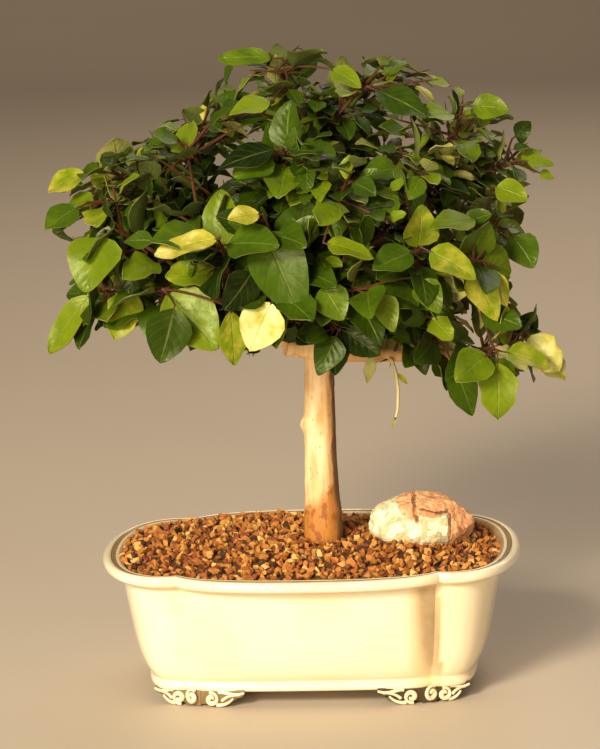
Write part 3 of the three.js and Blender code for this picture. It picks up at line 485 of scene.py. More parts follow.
class GravelSettings(bpy.types.PropertyGroup):
    """The gravel's grains."""
    grain: bpy.props.FloatProperty(
        name="Grain size", description="Middle width of a grain", subtype="DISTANCE", min=0.001,
        default=0.0053,
    )
    spacing: bpy.props.FloatProperty(
        name="Spacing", description="Distance from grain to grain", subtype="DISTANCE", min=0.001,
        default=0.0033,
    )
    seed: bpy.props.IntProperty(name="Seed", description="Arrangement of the grains", default=5)


class StoneSettings(bpy.types.PropertyGroup):
    """The accent stone's colours."""
    pale: bpy.props.FloatVectorProperty(
        name="Pale crystal", description="Colour of the crystalline side", **COLOUR,
        default=(0.8, 0.64, 0.34),
    )
    pink: bpy.props.FloatVectorProperty(
        name="Pink rock", description="Colour of the weathered side", **COLOUR,
        default=(0.76, 0.34, 0.15),
    )


class WoodSettings(bpy.types.PropertyGroup):
    """The bark's colours."""
    bark: bpy.props.FloatVectorProperty(
        name="Bark", description="Colour of the trunk's bark", **COLOUR,
        default=(0.85, 0.54, 0.25),
    )
    rust: bpy.props.FloatVectorProperty(
        name="Rusty bark", description="Colour of the foot and the limbs", **COLOUR,
        default=(0.42, 0.16, 0.03),
    )
    twig: bpy.props.FloatVectorProperty(
        name="Young twigs", description="Colour of twigs and leaf stalks", **COLOUR,
        default=(0.055, 0.02, 0.006),
    )


class LeafSettings(bpy.types.PropertyGroup):
    """The foliage."""
    deep: bpy.props.FloatVectorProperty(
        name="Deep green", description="Colour of the oldest leaves", **COLOUR,
        default=(0.0045, 0.013, 0.001),
    )
    fresh: bpy.props.FloatVectorProperty(
        name="Fresh green", description="Colour of most leaves", **COLOUR,
        default=(0.056, 0.108, 0.003),
    )
    young: bpy.props.FloatVectorProperty(
        name="Young leaves", description="Colour of young leaves", **COLOUR,
        default=(0.185, 0.25, 0.006),
    )
    gold: bpy.props.FloatVectorProperty(
        name="Golden leaves", description="Colour of the youngest leaves", **COLOUR,
        default=(0.5, 0.44, 0.05),
    )
    under: bpy.props.FloatVectorProperty(
        name="Underside", description="Colour of the blades' undersides", **COLOUR,
        default=(0.11, 0.14, 0.03),
    )
    amount: bpy.props.FloatProperty(
        name="Side shoots", description="Share of the side shoots that are grown", subtype="FACTOR",
        min=0, max=2, default=1,
    )
    seed: bpy.props.IntProperty(name="Seed", description="Arrangement of the side shoots", default=21)


class StageSettings(bpy.types.PropertyGroup):
    """The floor, the lights and the camera."""
    floor: bpy.props.FloatVectorProperty(
        name="Floor", description="Colour of the floor", **COLOUR,
        default=(0.54, 0.45, 0.35),
    )
    distance: bpy.props.FloatProperty(
        name="Distance", description="From the camera to the tree", subtype="DISTANCE", default=1.5,
    )
    azimuth: bpy.props.FloatProperty(
        name="Azimuth", description="Camera angle round the tree", subtype="ANGLE", default=math.radians(3),
    )
    elevation: bpy.props.FloatProperty(
        name="Elevation", description="Camera angle above the floor", subtype="ANGLE",
        default=math.radians(12.3),
    )
    tilt: bpy.props.FloatProperty(
        name="Tilt", description="Camera turned about its own axis", subtype="ANGLE",
        default=math.radians(-1.75),
    )


SETTINGS = {
    "bonsai_pot": PotSettings, "bonsai_gravel": GravelSettings, "bonsai_stone": StoneSettings,
    "bonsai_wood": WoodSettings, "bonsai_leaf": LeafSettings, "bonsai_stage": StageSettings,
}


class Socket:
    """A shader value that adds a Math node when it is used in an expression."""

    def __init__(self, shade, output):
        self.shade = shade
        self.output = output

    def math(self, operation, *values):
        inputs = {i: value for i, value in enumerate((self, *values))}
        return self.shade.node("ShaderNodeMath", {"operation": operation}, inputs)

    def __add__(self, other):
        return self.math("ADD", other)

    def __sub__(self, other):
        return self.math("SUBTRACT", other)

    def __mul__(self, other):
        return self.math("MULTIPLY", other)

    def __truediv__(self, other):
        return self.math("DIVIDE", other)

    def __pow__(self, other):
        return self.math("POWER", other)

    def __rsub__(self, other):
        return self * -1 + other

    __radd__ = __add__
    __rmul__ = __mul__

    def clamped(self):
        return self.math("MAXIMUM", 0).math("MINIMUM", 1)

    def most(self, other):
        return self.math("MAXIMUM", other)

    def near(self, far, close):
        """1 close to a line where the value is 0, and 0 far from it."""
        return self.math("ABSOLUTE").rise(far, close)

    def rise(self, low, high):
        """0 below low, 1 above high, and smooth between them."""
        inputs = {"Value": self, "From Min": low, "From Max": high}
        return self.shade.node("ShaderNodeMapRange", {"interpolation_type": "SMOOTHSTEP"}, inputs)


class Shade:
    """One material, built node by node."""

    def __init__(self, name):
        self.material = bpy.data.materials.new(name)
        self.material.use_nodes = True
        self.tree = self.material.node_tree
        self.tree.nodes.clear()

    def node(self, kind, settings, inputs, output=0):
        node = self.tree.nodes.new(kind)
        for name, value in settings.items():
            if name == "stops":
                elements = node.color_ramp.elements
                while len(elements) < len(value):
                    elements.new(1)
                for element, (place, colour) in zip(elements, value):
                    element.position = place
                    element.color = (*colour, 1)
            elif name == "ramp":
                node.color_ramp.interpolation = value
            else:
                setattr(node, name, value)
        for name, value in inputs.items():
            socket = node.inputs[name]
            if isinstance(value, Socket):
                self.tree.links.new(value.output, socket)
            elif hasattr(value, "__len__") and len(value) == 3 and socket.type == "RGBA":
                socket.default_value = (*value, 1)
            else:
                socket.default_value = value
        return Socket(self, node.outputs[output]) if node.outputs else None

    def place(self):
        return self.node("ShaderNodeTexCoord", {}, {}, "Object")

    def stretched(self, scale):
        return self.node("ShaderNodeMapping", {}, {"Vector": self.place(), "Scale": scale})

    def axes(self, vector):
        return [self.node("ShaderNodeSeparateXYZ", {}, {"Vector": vector}, axis) for axis in "XYZ"]

    def noise(self, scale, detail=3, vector=None, roughness=0.5):
        vector = vector or self.place()
        inputs = {"Vector": vector, "Scale": scale, "Detail": detail, "Roughness": roughness}
        return self.node("ShaderNodeTexNoise", {}, inputs, "Fac")

    def cells(self, scale, feature="F1", output="Distance"):
        inputs = {"Vector": self.place(), "Scale": scale}
        return self.node("ShaderNodeTexVoronoi", {"feature": feature}, inputs, output)

    def ramp(self, value, stops, interpolation="LINEAR"):
        settings = {"ramp": interpolation, "stops": stops}
        return self.node("ShaderNodeValToRGB", settings, {"Fac": value}, "Color")

    def blend(self, factor, first, second, mode="MIX"):
        settings = {"data_type": "RGBA", "blend_type": mode}
        return self.node("ShaderNodeMix", settings, {0: factor, 6: first, 7: second}, 2)

    def attribute(self, name):
        return self.node("ShaderNodeAttribute", {"attribute_name": name}, {}, "Fac")

    def bump(self, height, distance, strength=1.0):
        inputs = {"Height": height, "Distance": distance, "Strength": strength}
        return self.node("ShaderNodeBump", {}, inputs, "Normal")

    def surface(self, inputs, through=None, share=0.0):
        shader = self.node("ShaderNodeBsdfPrincipled", {}, inputs, "BSDF")
        if through:
            thin = self.node("ShaderNodeBsdfTranslucent", {}, {"Color": through}, "BSDF")
            shader = self.node("ShaderNodeMixShader", {}, {0: share, 1: shader, 2: thin}, "Shader")
        self.node("ShaderNodeOutputMaterial", {}, {"Surface": shader})
        return self.material


def tinted(colour, red, green, blue):
    """A colour made darker or brighter, channel by channel."""
    return tuple(min(1, channel * factor) for channel, factor in zip(colour, (red, green, blue)))


def glaze_material(settings):
    """Cream glaze: peach where thin and as painted shade, brown where stained and as painted shade in creases
    and hollows, with a faint orange peel and specks.
    """
    shade = Shade("cream glaze")
    wear = shade.attribute("wear")
    mottle = shade.noise(28, 4)
    warm = tinted(settings.glaze, 1, 0.9, 0.74)
    peach = tinted(settings.glaze, 0.96, 0.74, 0.5)
    colour = shade.blend(mottle.rise(0.45, 0.75) * 0.6, settings.glaze, warm)
    # Peach: thin glaze on the scrolls, and painted shade on the lobe at the right and under the lip.
    colour = shade.blend(wear.rise(0.02, 0.42) * (0.55 + mottle * 0.4), colour, peach)
    # Brown: stained glaze in the groove, and painted shade in the creases, inside the rim and in the feet's
    # hollows.
    pooled_and_shade = (wear.rise(0.36, 1) * (0.7 + shade.noise(160, 3) * 0.6)).clamped()
    colour = shade.blend(pooled_and_shade, colour, settings.stain_and_shade_colour)
    # Above 1 the feet's hollows run to near black: painted shadow.
    colour = shade.blend(wear.rise(1, 1.5), colour, (0.045, 0.024, 0.009))
    specks = shade.cells(420).rise(0.09, 0.03) * shade.noise(60, 2).rise(0.58, 0.72)
    colour = shade.blend(specks * 0.4, colour, (0.45, 0.27, 0.11))
    return shade.surface({
        "Base Color": colour,
        "Roughness": shade.noise(40, 2) * 0.1 + (settings.gloss - 0.05) + wear * 0.2,
        "Coat Weight": 0.5,
        "Coat Roughness": 0.06,
        "Normal": shade.bump(shade.noise(300, 2) * 0.5 + shade.noise(70, 2), 0.0005, 0.3),
    })


def gravel_material():
    """Fired-clay gravel: each grain has its own brown, dusted and pitted."""
    shade = Shade("gravel grains")
    browns = [
        (0, (0.06, 0.018, 0.004)), (0.06, (0.22, 0.055, 0.008)), (0.2, (0.36, 0.11, 0.014)),
        (0.42, (0.5, 0.19, 0.026)), (0.6, (0.55, 0.2, 0.04)), (0.76, (0.66, 0.32, 0.065)),
        (0.92, (0.82, 0.5, 0.15)),
    ]
    base = shade.ramp(shade.attribute("tone"), browns, "CONSTANT")
    dust = shade.noise(500, 4)
    colour = shade.blend(dust.rise(0.35, 0.75) * 0.5, base, (0.74, 0.55, 0.34), "MULTIPLY")
    colour = shade.blend(shade.noise(900, 2).rise(0.6, 0.8) * 0.5, colour, (0.62, 0.34, 0.1))
    return shade.surface({
        "Base Color": colour,
        "Roughness": dust * 0.3 + 0.6,
        "Normal": shade.bump(shade.noise(1200, 3), 0.0005, 0.8),
    })


def bed_material():
    """The dark gravel dust below the grains."""
    shade = Shade("gravel dust")
    return shade.surface({
        "Base Color": shade.blend(shade.noise(400, 4), (0.04, 0.015, 0.006), (0.2, 0.08, 0.025)),
        "Roughness": shade.noise(200, 2) * 0.2 + 0.75,
        "Normal": shade.bump(shade.noise(600, 4), 0.001, 1),
    })


def stone_material(settings):
    """Crystalline stone: white at the left, cream low at the front, pink and cracked elsewhere."""
    shade = Shade("crystal stone")
    x, y, z = shade.axes(shade.place())
    centre = POT_MIDDLE + STONE_CENTRE * MM
    wobble = shade.noise(170, 3) - 0.5
    across = (x - centre.x) * 1000 + wobble * 4
    height = (z - centre.z) * 1000 - 5 + wobble * 4
    left = across.rise(-2.2, -1.6)
    wedge = (across + height * 0.25).rise(-10.4, -9.4) * (height + across * 0.8).rise(-4.6, -3.8)
    above = (wedge * (1 - left)).most(height.rise(2, 2.6) * left)
    beside = across.rise(13.2, 13.8)
    behind = (y - centre.y).rise(0.006, 0.012) * 0.8
    pink = above.most(beside).most(behind)
    facets = shade.cells(260, output="Color")
    crystal = shade.ramp(shade.axes(facets)[0], [
        (0.1, tinted(settings.pale, 0.8, 0.8, 0.8)), (0.45, settings.pale), (0.8, (0.96, 0.9, 0.66)),
    ])
    grain = shade.noise(1, 5, shade.stretched((330, 330, 150)), 0.62)
    rock = shade.ramp(grain, [
        (0.3, (0.42, 0.15, 0.045)), (0.44, settings.pink), (0.58, (0.86, 0.48, 0.22)),
        (0.74, (0.93, 0.68, 0.4)),
    ])
    colour = shade.blend(pink, crystal, rock)
    spots = (height - 7.5).near(2.4, 1).most(height.near(2.2, 0.8))
    upright = (across + 2.3 + height * 0.12).near(1.2, 0.4) * (spots * 0.7 + 0.3) * height.rise(-3, 0)
    level = (height - 4.8 + across * 0.1).near(0.6, 0.15) * across.rise(-2, 0) * beside.rise(1, 0.5)
    rim = (across - 13.6).near(0.7, 0.2) * height.rise(5, 3) * 0.5
    under = (height - 2.2).near(0.5, 0.1) * across.rise(-2, 0) * (1 - beside) * 0.35
    cracks = upright.most(level).most(rim).most(under)
    shown = (1 - behind) * (0.5 + shade.noise(90, 2))
    colour = shade.blend((cracks * shown).clamped() * 0.85, colour, (0.16, 0.06, 0.02))
    pores = shade.cells(380).rise(0.16, 0.05) * shade.noise(120, 2).rise(0.46, 0.6) * (pink * 0.7 + 0.15)
    colour = shade.blend(pores * 0.8, colour, (0.26, 0.1, 0.03))
    dust = shade.noise(330, 3).rise(0.6, 0.75) * 0.3
    colour = shade.blend(dust, colour, (0.55, 0.3, 0.13))
    relief = shade.axes(facets)[0] * 0.5 + grain + shade.noise(420, 4) * 0.8 - cracks * shown - pores
    return shade.surface({
        "Base Color": colour,
        "Roughness": pink * 0.3 + 0.38,
        "Normal": shade.bump(relief, 0.0014, 0.8),
    })


def bark_material(settings):
    """Cream bark with upright streaks, orange at the foot, orange and a dark brown strip on its right side as
    painted shade, red-brown in the crown.
    """
    shade = Shade("cream bark")
    x, y, z = shade.axes(shade.place())
    streaks = shade.noise(1, 5, shade.stretched((420, 420, 40)), 0.65)
    blotches = shade.noise(1, 3, shade.stretched((150, 150, 55)))
    pale = tinted(settings.bark, 1.12, 1.3, 1.55)
    dull = tinted(settings.bark, 0.86, 0.72, 0.55)
    colour = shade.blend(streaks.rise(0.3, 0.58), dull, settings.bark)
    colour = shade.blend(blotches.rise(0.42, 0.62) * 0.85, colour, pale)
    trunk_x = POT_MIDDLE.x + TRUNK[2][0] * MM
    off_middle = (x - trunk_x) * 1000 + (blotches - 0.5) * 5
    foot = 1 - ((z * 1000) - off_middle * 0.7 + (streaks - 0.5) * 8).rise(90, 99)
    # The orange towards the trunk's right side is painted shade; the orange at the foot is the bark's own.
    orange = (off_middle.rise(2, 4.6) * 0.5 + foot * (0.8 + blotches * 0.4)).clamped()
    colour = shade.blend(orange, colour, shade.blend(streaks, (0.38, 0.12, 0.015), (0.68, 0.29, 0.05)))
    flakes = shade.noise(1, 4, shade.stretched((300, 300, 170))).rise(0.5, 0.6)
    colour = shade.blend(foot * flakes * 0.75, colour, (0.3, 0.075, 0.012))
    from_trunk = (x - trunk_x).math("ABSOLUTE").most(y.math("ABSOLUTE"))
    # A dark brown strip down the trunk's right edge is painted shade.
    edge = off_middle.rise(4.6, 5.8) * (1 - from_trunk.rise(0.011, 0.014))
    colour = shade.blend(edge * 0.9, colour, (0.15, 0.065, 0.014))
    crown = z.rise(0.176, 0.196).most(from_trunk.rise(0.016, 0.03) * z.rise(0.12, 0.13))
    rust = shade.blend(streaks, settings.rust, (0.5, 0.22, 0.05))
    dark = shade.blend(streaks, settings.twig, (0.16, 0.06, 0.015))
    colour = shade.blend(crown * (0.25 + z.rise(0.172, 0.186) * 0.6), colour, rust)
    colour = shade.blend(z.rise(0.18, 0.21) * 0.85, colour, dark)
    pits = 1 - shade.noise(1, 2, shade.stretched((420, 420, 300))).rise(0.27, 0.36)
    colour = shade.blend(pits * 0.45, colour, (0.3, 0.14, 0.04))
    return shade.surface({
        "Base Color": colour,
        "Roughness": streaks * 0.25 + 0.45,
        "Normal": shade.bump(streaks + blotches * 0.6 - pits * 0.5, 0.0009, 0.65),
    })


def twig_material(settings):
    """Red-brown skin of young twigs and leaf stalks."""
    shade = Shade("young twig")
    grain = shade.noise(700, 3)
    bright = tinted(settings.twig, 1.6, 1.6, 1.6)
    return shade.surface({
        "Base Color": shade.blend(grain, settings.twig, bright),
        "Roughness": grain * 0.2 + 0.5,
        "Specular IOR Level": 0.25,
        "Normal": shade.bump(grain, 0.0004, 0.6),
    })


def shoot_material():
    """Pale green-yellow skin of the soft hanging shoot."""
    shade = Shade("soft shoot")
    grain = shade.noise(500, 3)
    return shade.surface({
        "Base Color": shade.blend(grain, (0.5, 0.4, 0.14), (0.78, 0.66, 0.34)),
        "Roughness": grain * 0.2 + 0.4,
        "Normal": shade.bump(grain, 0.0003, 0.5),
    })


def leaf_material(settings):
    """Glossy leaf: pale midrib and side veins, quilted between them, each leaf its own green, which also
    holds its painted light and shade, paler below.
    """
    shade = Shade("glossy leaf")
    uv = shade.node("ShaderNodeUVMap", {"uv_map": "leaf"}, {}, "UV")
    across, along, _ = shade.axes(uv)
    out = (across - 0.5).math("ABSOLUTE") * 2
    midrib = 1 - out.rise(0.015, 0.08)
    wave = ((along - out * 0.3) * 44).math("COSINE")
    side_vein = wave.rise(0.92, 1) * (1 - out.rise(0.7, 1))
    vein = midrib.most(side_vein * 0.45)
    tone = shade.attribute("tone")
    under = shade.attribute("under")
    patch = shade.noise(140, 3) - 0.5
    middle = tuple((a + b) / 2 for a, b in zip(settings.fresh, settings.deep))
    bright = tuple(a * 0.6 + b * 0.4 for a, b in zip(settings.young, settings.fresh))
    # The palest stop paints the glare on the most highlighted leaves.
    green = shade.ramp(tone * 0.9 + patch * 0.32, [
        (0, settings.deep), (0.27, middle), (0.47, settings.fresh), (0.65, bright),
        (0.79, settings.young), (0.89, settings.gold), (0.98, (0.8, 0.77, 0.32)),
    ])
    edge = out.rise(0.8, 1) * tone.rise(0.45, 0.9) * 0.3
    green = shade.blend(edge, green, (0.34, 0.3, 0.04))
    green = shade.blend(vein * 0.25, green, (0.26, 0.3, 0.06))
    spots = shade.noise(420, 2).rise(0.68, 0.76) * tone.rise(0.4, 0.8)
    green = shade.blend(spots * 0.3, green, (0.3, 0.2, 0.03))
    below = shade.blend(tone.rise(0.2, 1) * 0.8, settings.under, (0.36, 0.34, 0.09))
    colour = shade.blend(under, green, below)
    height = (wave * 0.5 + 0.5) * -0.3 * (1 - out) + midrib * -0.7 + shade.noise(260, 2) * 0.8
    return shade.surface({
        "Base Color": colour,
        "Roughness": under * 0.25 + shade.noise(200, 2) * 0.2 + 0.24,
        "Specular IOR Level": 0.27,
        "Specular Tint": (0.95, 1, 0.6, 1),
        "Normal": shade.bump(height, 0.0007, 0.5),
    }, through=(0.22, 0.27, 0.008), share=0.2)


def netting_material():
    """Dark green plastic netting, slightly dusty."""
    shade = Shade("drain netting")
    dust = shade.noise(300, 3)
    return shade.surface({
        "Base Color": shade.blend(dust.rise(0.5, 0.8), (0.02, 0.035, 0.022), (0.16, 0.1, 0.05)),
        "Roughness": dust * 0.3 + 0.5,
        "Normal": shade.bump(dust, 0.0003, 0.5),
    })


def floor_material(settings):
    """Plain pale studio floor with a very faint tooth."""
    shade = Shade("studio floor")
    tooth = shade.noise(6, 3)
    dim = tinted(settings.floor, 0.94, 0.94, 0.94)
    return shade.surface({
        "Base Color": shade.blend(tooth, dim, settings.floor),
        "Roughness": tooth * 0.1 + 0.55,
        "Normal": shade.bump(shade.noise(400, 2), 0.0002, 0.2),
    })


def material_once(name, make, *arguments):
    """A material that several pieces share."""
    return bpy.data.materials.get(name) or make(*arguments)


def clamped(value):
    """A value kept between 0 and 1."""
    return min(1, max(0, value))


def in_halves(place, half):
    """A place measured in half sizes."""
    return Vector([p / h for p, h in zip(place, half)])


def square_to(face, way):
    """A facing made square to the way that something points."""
    return (face - way * face.dot(way)).normalized()


def turned(across, along, turn):
    """The direction across a path, turned about it."""
    return across * math.cos(turn) + across.cross(along) * math.sin(turn)


def only(kind, items):
    return [item for item in items if isinstance(item, kind)]


def mesh_of(bm, name):
    """Moves a finished bmesh into a mesh."""
    mesh = bpy.data.meshes.new(name)
    bm.to_mesh(mesh)
    bm.free()
    return mesh


def linked(name, data):
    """A new object in the scene."""
    thing = bpy.data.objects.new(name, data)
    bpy.context.scene.collection.objects.link(thing)
    return thing


def shade_edges(bm, crease):
    """Smooth shading, except across edges sharper than the crease angle."""
    for face in bm.faces:
        face.smooth = True
    for edge in bm.edges:
        edge.smooth = edge.calc_face_angle(0) < crease


def make_piece(bm, name, materials, replaced=(), crease=CREASE_ANGLE):
    """Turns a bmesh laid out in millimetres into a finished piece that rides on the plant's one body."""
    bmesh.ops.transform(bm, matrix=TO_METRES, verts=bm.verts)
    shade_edges(bm, crease)
    mesh = mesh_of(bm, name)
    for material in materials:
        mesh.materials.append(material)
    piece = linked(name, mesh)
    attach(piece, "root")
    if replaced:
        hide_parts(*replaced)


def loft(bm, rings, material=0):
    """A closed skin: a circle on the first ring, extruded to each next one, and filled at both ends."""
    verts = bmesh.ops.create_circle(bm, segments=len(rings[0]), radius=1)["verts"]
    edges = list(dict.fromkeys(edge for vert in verts for edge in vert.link_edges))
    for vert, place in zip(verts, rings[0]):
        vert.co = place
    start = edges
    faces = []
    for ring in rings[1:]:
        order = {vert.co.to_tuple(6): i for i, vert in enumerate(verts)}
        grown = bmesh.ops.extrude_edge_only(bm, edges=edges)["geom"]
        edges = only(BMEdge, grown)
        faces += only(BMFace, grown)
        verts = sorted(only(BMVert, grown), key=lambda vert: order[vert.co.to_tuple(6)])
        for vert, place in zip(verts, ring):
            vert.co = place
    for rim in (start, edges):
        faces += bmesh.ops.edgeloop_fill(bm, edges=rim)["faces"]
    bmesh.ops.recalc_face_normals(bm, faces=faces)
    for face in faces:
        face.material_index = material
    return faces


def section(centre, along, radius, sides, across, first=0):
    """A round section square to its path, whose first corner is turned by a share of one side."""
    turns = (2 * math.pi * (k + first) / sides for k in range(sides))
    return [centre + turned(across, along, turn) * radius for turn in turns]


def stem(bm, centres, radii, sides, material=0):
    """A round, tapering stem along a path."""
    rings = []
    across = None
    for i, centre in enumerate(centres):
        along = (centres[min(i + 1, len(centres) - 1)] - centres[max(i - 1, 0)]).normalized()
        guide = across or Vector((0.3, 0.9, 0.1)).cross(along)
        across = (guide - along * guide.dot(along)).normalized()
        rings.append(section(centre, along, radii[i], sides, across))
    return loft(bm, rings, material)


def bezier(points, t):
    """A point on a Bezier curve of any number of control points."""
    points = [Vector(p) for p in points]
    while len(points) > 1:
        points = [a.lerp(b, t) for a, b in zip(points, points[1:])]
    return points[0]


def curve_steps(points, start, end, steps):
    return [bezier(points, start + (end - start) * i / steps) for i in range(steps + 1)]


def limb_control(name):
    return [Vector(p) for p in LIMBS[name][:3]]


def trunk_at(place):
    """The trunk's centre and radius at a row number, which may lie between rows."""
    row = min(int(place), len(TRUNK) - 2)
    low, high = (Vector(TRUNK[row]).to_4d(), Vector(TRUNK[row + 1]).to_4d())
    low.w, high.w = TRUNK[row][3], TRUNK[row + 1][3]
    mixed = low.lerp(high, place - row)
    return mixed.to_3d(), mixed.w


def pot_outline(inset, end_steps=END_LOBE_STEPS, long_steps=LONG_LOBE_STEPS):
    """The pot's four-lobed outline at an inset from the lip, from the +X end round through +Y."""
    quarter = [bezier([(*p, 0) for p in END_LOBE], i / end_steps) for i in range(end_steps)]
    quarter += [bezier([(*p, 0) for p in LONG_LOBE], i / long_steps) for i in range(long_steps + 1)]
    first = []
    for p in quarter:
        x = p.x - inset * (p.x / POT_HALF_LENGTH) ** 3
        y = p.y - inset * (p.y / POT_HALF_DEPTH) ** 2.5
        first.append((x, y))
    half = first + [(-x, y) for x, y in reversed(first[:-1])]
    return half + [(x, -y) for x, y in reversed(half[1:-1])]


def rounded(profile, share):
    """A profile with each corner replaced by a short curve."""
    points = [Vector(profile[0])]
    for before, here, after in zip(profile, profile[1:], profile[2:]):
        before, here, after = Vector(before), Vector(here), Vector(after)
        ends = (here.lerp(before, share), here, here.lerp(after, share))
        points += [ends[0].lerp(ends[1], t).lerp(ends[1].lerp(ends[2], t), t) for t in (0, 0.5, 1)]
    return points + [Vector(profile[-1])]


def foot_wing(bm, corner, end, inward):
    """A scalloped bracket plate from the corner to its end, thick towards the middle of the pot."""
    length = (end - corner).length
    along = (end - corner).normalized()
    scallops = [(length * share, z) for share, z in FOOT_SCALLOPS]
    outline = [(FOOT_BEHIND, 0), *scallops, (FOOT_BEHIND, FOOT_TOP)]
    verts = [bm.verts.new(corner + along * u + UP * z) for u, z in outline]
    face = bmesh.ops.contextual_create(bm, geom=verts)["faces"][0]
    moved = only(BMVert, bmesh.ops.extrude_face_region(bm, geom=[face], use_keep_orig=True)["geom"])
    bmesh.ops.translate(bm, verts=moved, vec=inward * FOOT_THICKNESS)
    shell = list(dict.fromkeys(f for v in verts + moved for f in v.link_faces))
    bmesh.ops.recalc_face_normals(bm, faces=shell)
    rims = [e for e in dict.fromkeys(e for f in shell for e in f.edges) if e.calc_face_angle(0) > 1]
    bmesh.ops.bevel(
        bm, geom=rims, offset=FOOT_ROUND, offset_type="OFFSET", affect="EDGES", segments=2, profile=0.5,
        material=-1, clamp_overlap=True,
    )


def scroll(bm, centre, across, outward, radius, turns, hand):
    """A raised spiral scroll, wound from its eye outwards, thin at its ends."""
    steps = int(SCROLL_TURN_STEPS * turns)
    centres = []
    radii = []
    for i in range(steps + 1):
        share = i / steps
        turn = hand * 2 * math.pi * turns * share
        way = across * math.cos(turn) + UP * math.sin(turn)
        reach = radius * (SCROLL_EYE + (1 - SCROLL_EYE) * share)
        centres.append(centre + way * reach + outward * 0.5 * (1 - share))
        radii.append(0.55 + 0.75 * math.sin(math.pi * min(1, share * 1.15)) ** 0.6 if share < 0.86 else 0.8)
    stem(bm, centres, radii, SCROLL_SIDES)


def stain_and_shade_fresh(bm, before, wear, amount):
    """Sets the stain and painted shade of what was added since."""
    for vert in set(bm.verts) - before:
        vert[wear] = amount


def add_foot(bm, sign_x, sign_y, wear):
    """One foot: two bracket wings, stained in their hollows, and the paler scrolls on their faces."""
    place = Matrix.Diagonal((sign_x, sign_y, 1)).to_3x3()
    corner, long_end, short_end = (place @ p for p in (FOOT_CORNER, FOOT_LONG_END, FOOT_SHORT_END))
    for end in (long_end, short_end):
        length = (end - corner).length
        along = (end - corner).normalized()
        outward = along.cross(UP)
        hand = 1 if outward.dot(corner) > 0 else -1
        outward *= hand
        before = set(bm.verts)
        foot_wing(bm, corner, end, -outward)
        # The wings' hollows are browned by pooled glaze and painted shade.
        stain_and_shade_fresh(bm, before, wear, FOOT_HOLLOW_SHADE[sign_x > 0])
        before = set(bm.verts)
        scroll(bm, corner + along * length * 0.36 + outward * 0.7 + UP * 4.1, along, outward, 3.3, 1.3, hand)
        for share, strand in FOOT_STRANDS:
            line = [corner + along * length * u + outward * 0.5 + UP * z for u, z in strand]
            radii = [share * (1.15 - 0.07 * i) for i in range(STRAND_STEPS + 1)]
            stem(bm, curve_steps(line, 0, 1, STRAND_STEPS), radii, SCROLL_SIDES)
        stain_and_shade_fresh(bm, before, wear, SCROLL_STAIN)
    front = (corner - place @ Vector((20, 0, 0))).normalized()
    before = set(bm.verts)
    scroll(bm, corner + front * 1.1 + UP * 5.1, front.cross(UP), front, 3.8, 1.35, 1)
    stain_and_shade_fresh(bm, before, wear, SCROLL_STAIN)


def with_drain_holes(bm):
    """The bowl with its two round holes, cut before the feet are added, so that the cut leaves them whole."""
    bowl = linked("bowl", mesh_of(bm, "bowl"))
    bm = bmesh.new()
    for side in (-1, 1):
        bmesh.ops.create_cone(
            bm, cap_ends=True, segments=32, radius1=DRAIN_HOLE_RADIUS, radius2=DRAIN_HOLE_RADIUS,
            depth=DRAIN_HOLE_DEPTH, matrix=Matrix.Translation((side * DRAIN_HOLE_X, 0, POT_FLOOR - 3)),
        )
    cutter = linked("drain_hole_cutter", mesh_of(bm, "drain hole cutter"))
    cut = bowl.modifiers.new("drain holes", "BOOLEAN")
    cut.operation = "DIFFERENCE"
    cut.solver = "EXACT"
    cut.object = cutter
    bm = bmesh.new()
    bm.from_object(bowl, bpy.context.evaluated_depsgraph_get())
    bpy.data.objects.remove(bowl)
    bpy.data.objects.remove(cutter)
    return bm


class BONSAI_OT_add_pot(bpy.types.Operator):
    """Adds the lobed pot with its rolled lip, base bead, scrolled feet and drain holes"""
    bl_idname = "bonsai.add_pot"
    bl_label = "Add pot"

    def execute(self, context):
        profile = rounded(POT_WALL, CORNER_ROUND)
        outlines = [pot_outline(point.x) for point in profile]
        bm = bmesh.new()
        loft(bm, [[Vector((x, y, point.y)) for x, y in ring] for point, ring in zip(profile, outlines)])
        wear = bm.verts.layers.float.new("wear")
        around = len(outlines[0])
        top = max(range(len(profile)), key=lambda i: profile[i].y)
        for i, vert in enumerate(bm.verts):
            inset, height = profile[i // around]
            vert[wear] = self.stain_and_shade_at(inset, height, i // around >= top, vert.co)
        bm = with_drain_holes(bm)
        wear = bm.verts.layers.float["wear"]
        for sign_x in (-1, 1):
            for sign_y in (-1, 1):
                add_foot(bm, sign_x, sign_y, wear)
        make_piece(bm, "glazed_pot", [glaze_material(context.scene.bonsai_pot)], ["pot"])
        return {"FINISHED"}

    @staticmethod
    def stain_and_shade_at(inset, height, inside, place):
        """How brown the glaze is: stained in the groove and at the foot, olive and painted shade on the lip's
        left end, and painted shade in the creases, the right-hand lobe, inside and under the lip.
        """
        if inside and height > LIP_FROM:
            # Round the left end the lip's top is browned, partly its olive tint and partly painted shade.
            plain = LIP_TINT_AND_SHADE if place.x < -CREASE[0] else 0.05
            # Further in, the lip's inner slope is dark with painted shade.
            return 1 if GROOVE[0] < inset < GROOVE[1] else 0.8 if inset > LIP_INSIDE else plain
        # The wall inside, below the lip, is darkened as painted shade.
        if inside:
            return 0.75
        to_crease = (Vector((abs(place.x), abs(place.y))) - Vector(CREASE)).length
        on_wall = height < WALL_TOP
        # Painted shade in the creases, far more at the right-hand ones.
        side = CREASE_SHADE[place.x > 0] if on_wall and abs(place.x) < CREASE[0] else 0
        crease = brown_band(to_crease, side, *CREASE_REACH)
        # The lobe at the right is tinted peach as painted shade.
        if on_wall and place.x > CREASE[0]:
            crease = LOBE_SHADE
        below = 0.8 if height < POT_BASE + 0.4 else 0
        # The neck under the lip is browned as painted shade; a darker band lies above the base bead.
        return max(crease, brown_band(height, *NECK_SHADE), brown_band(height, *BEAD_BAND), below)


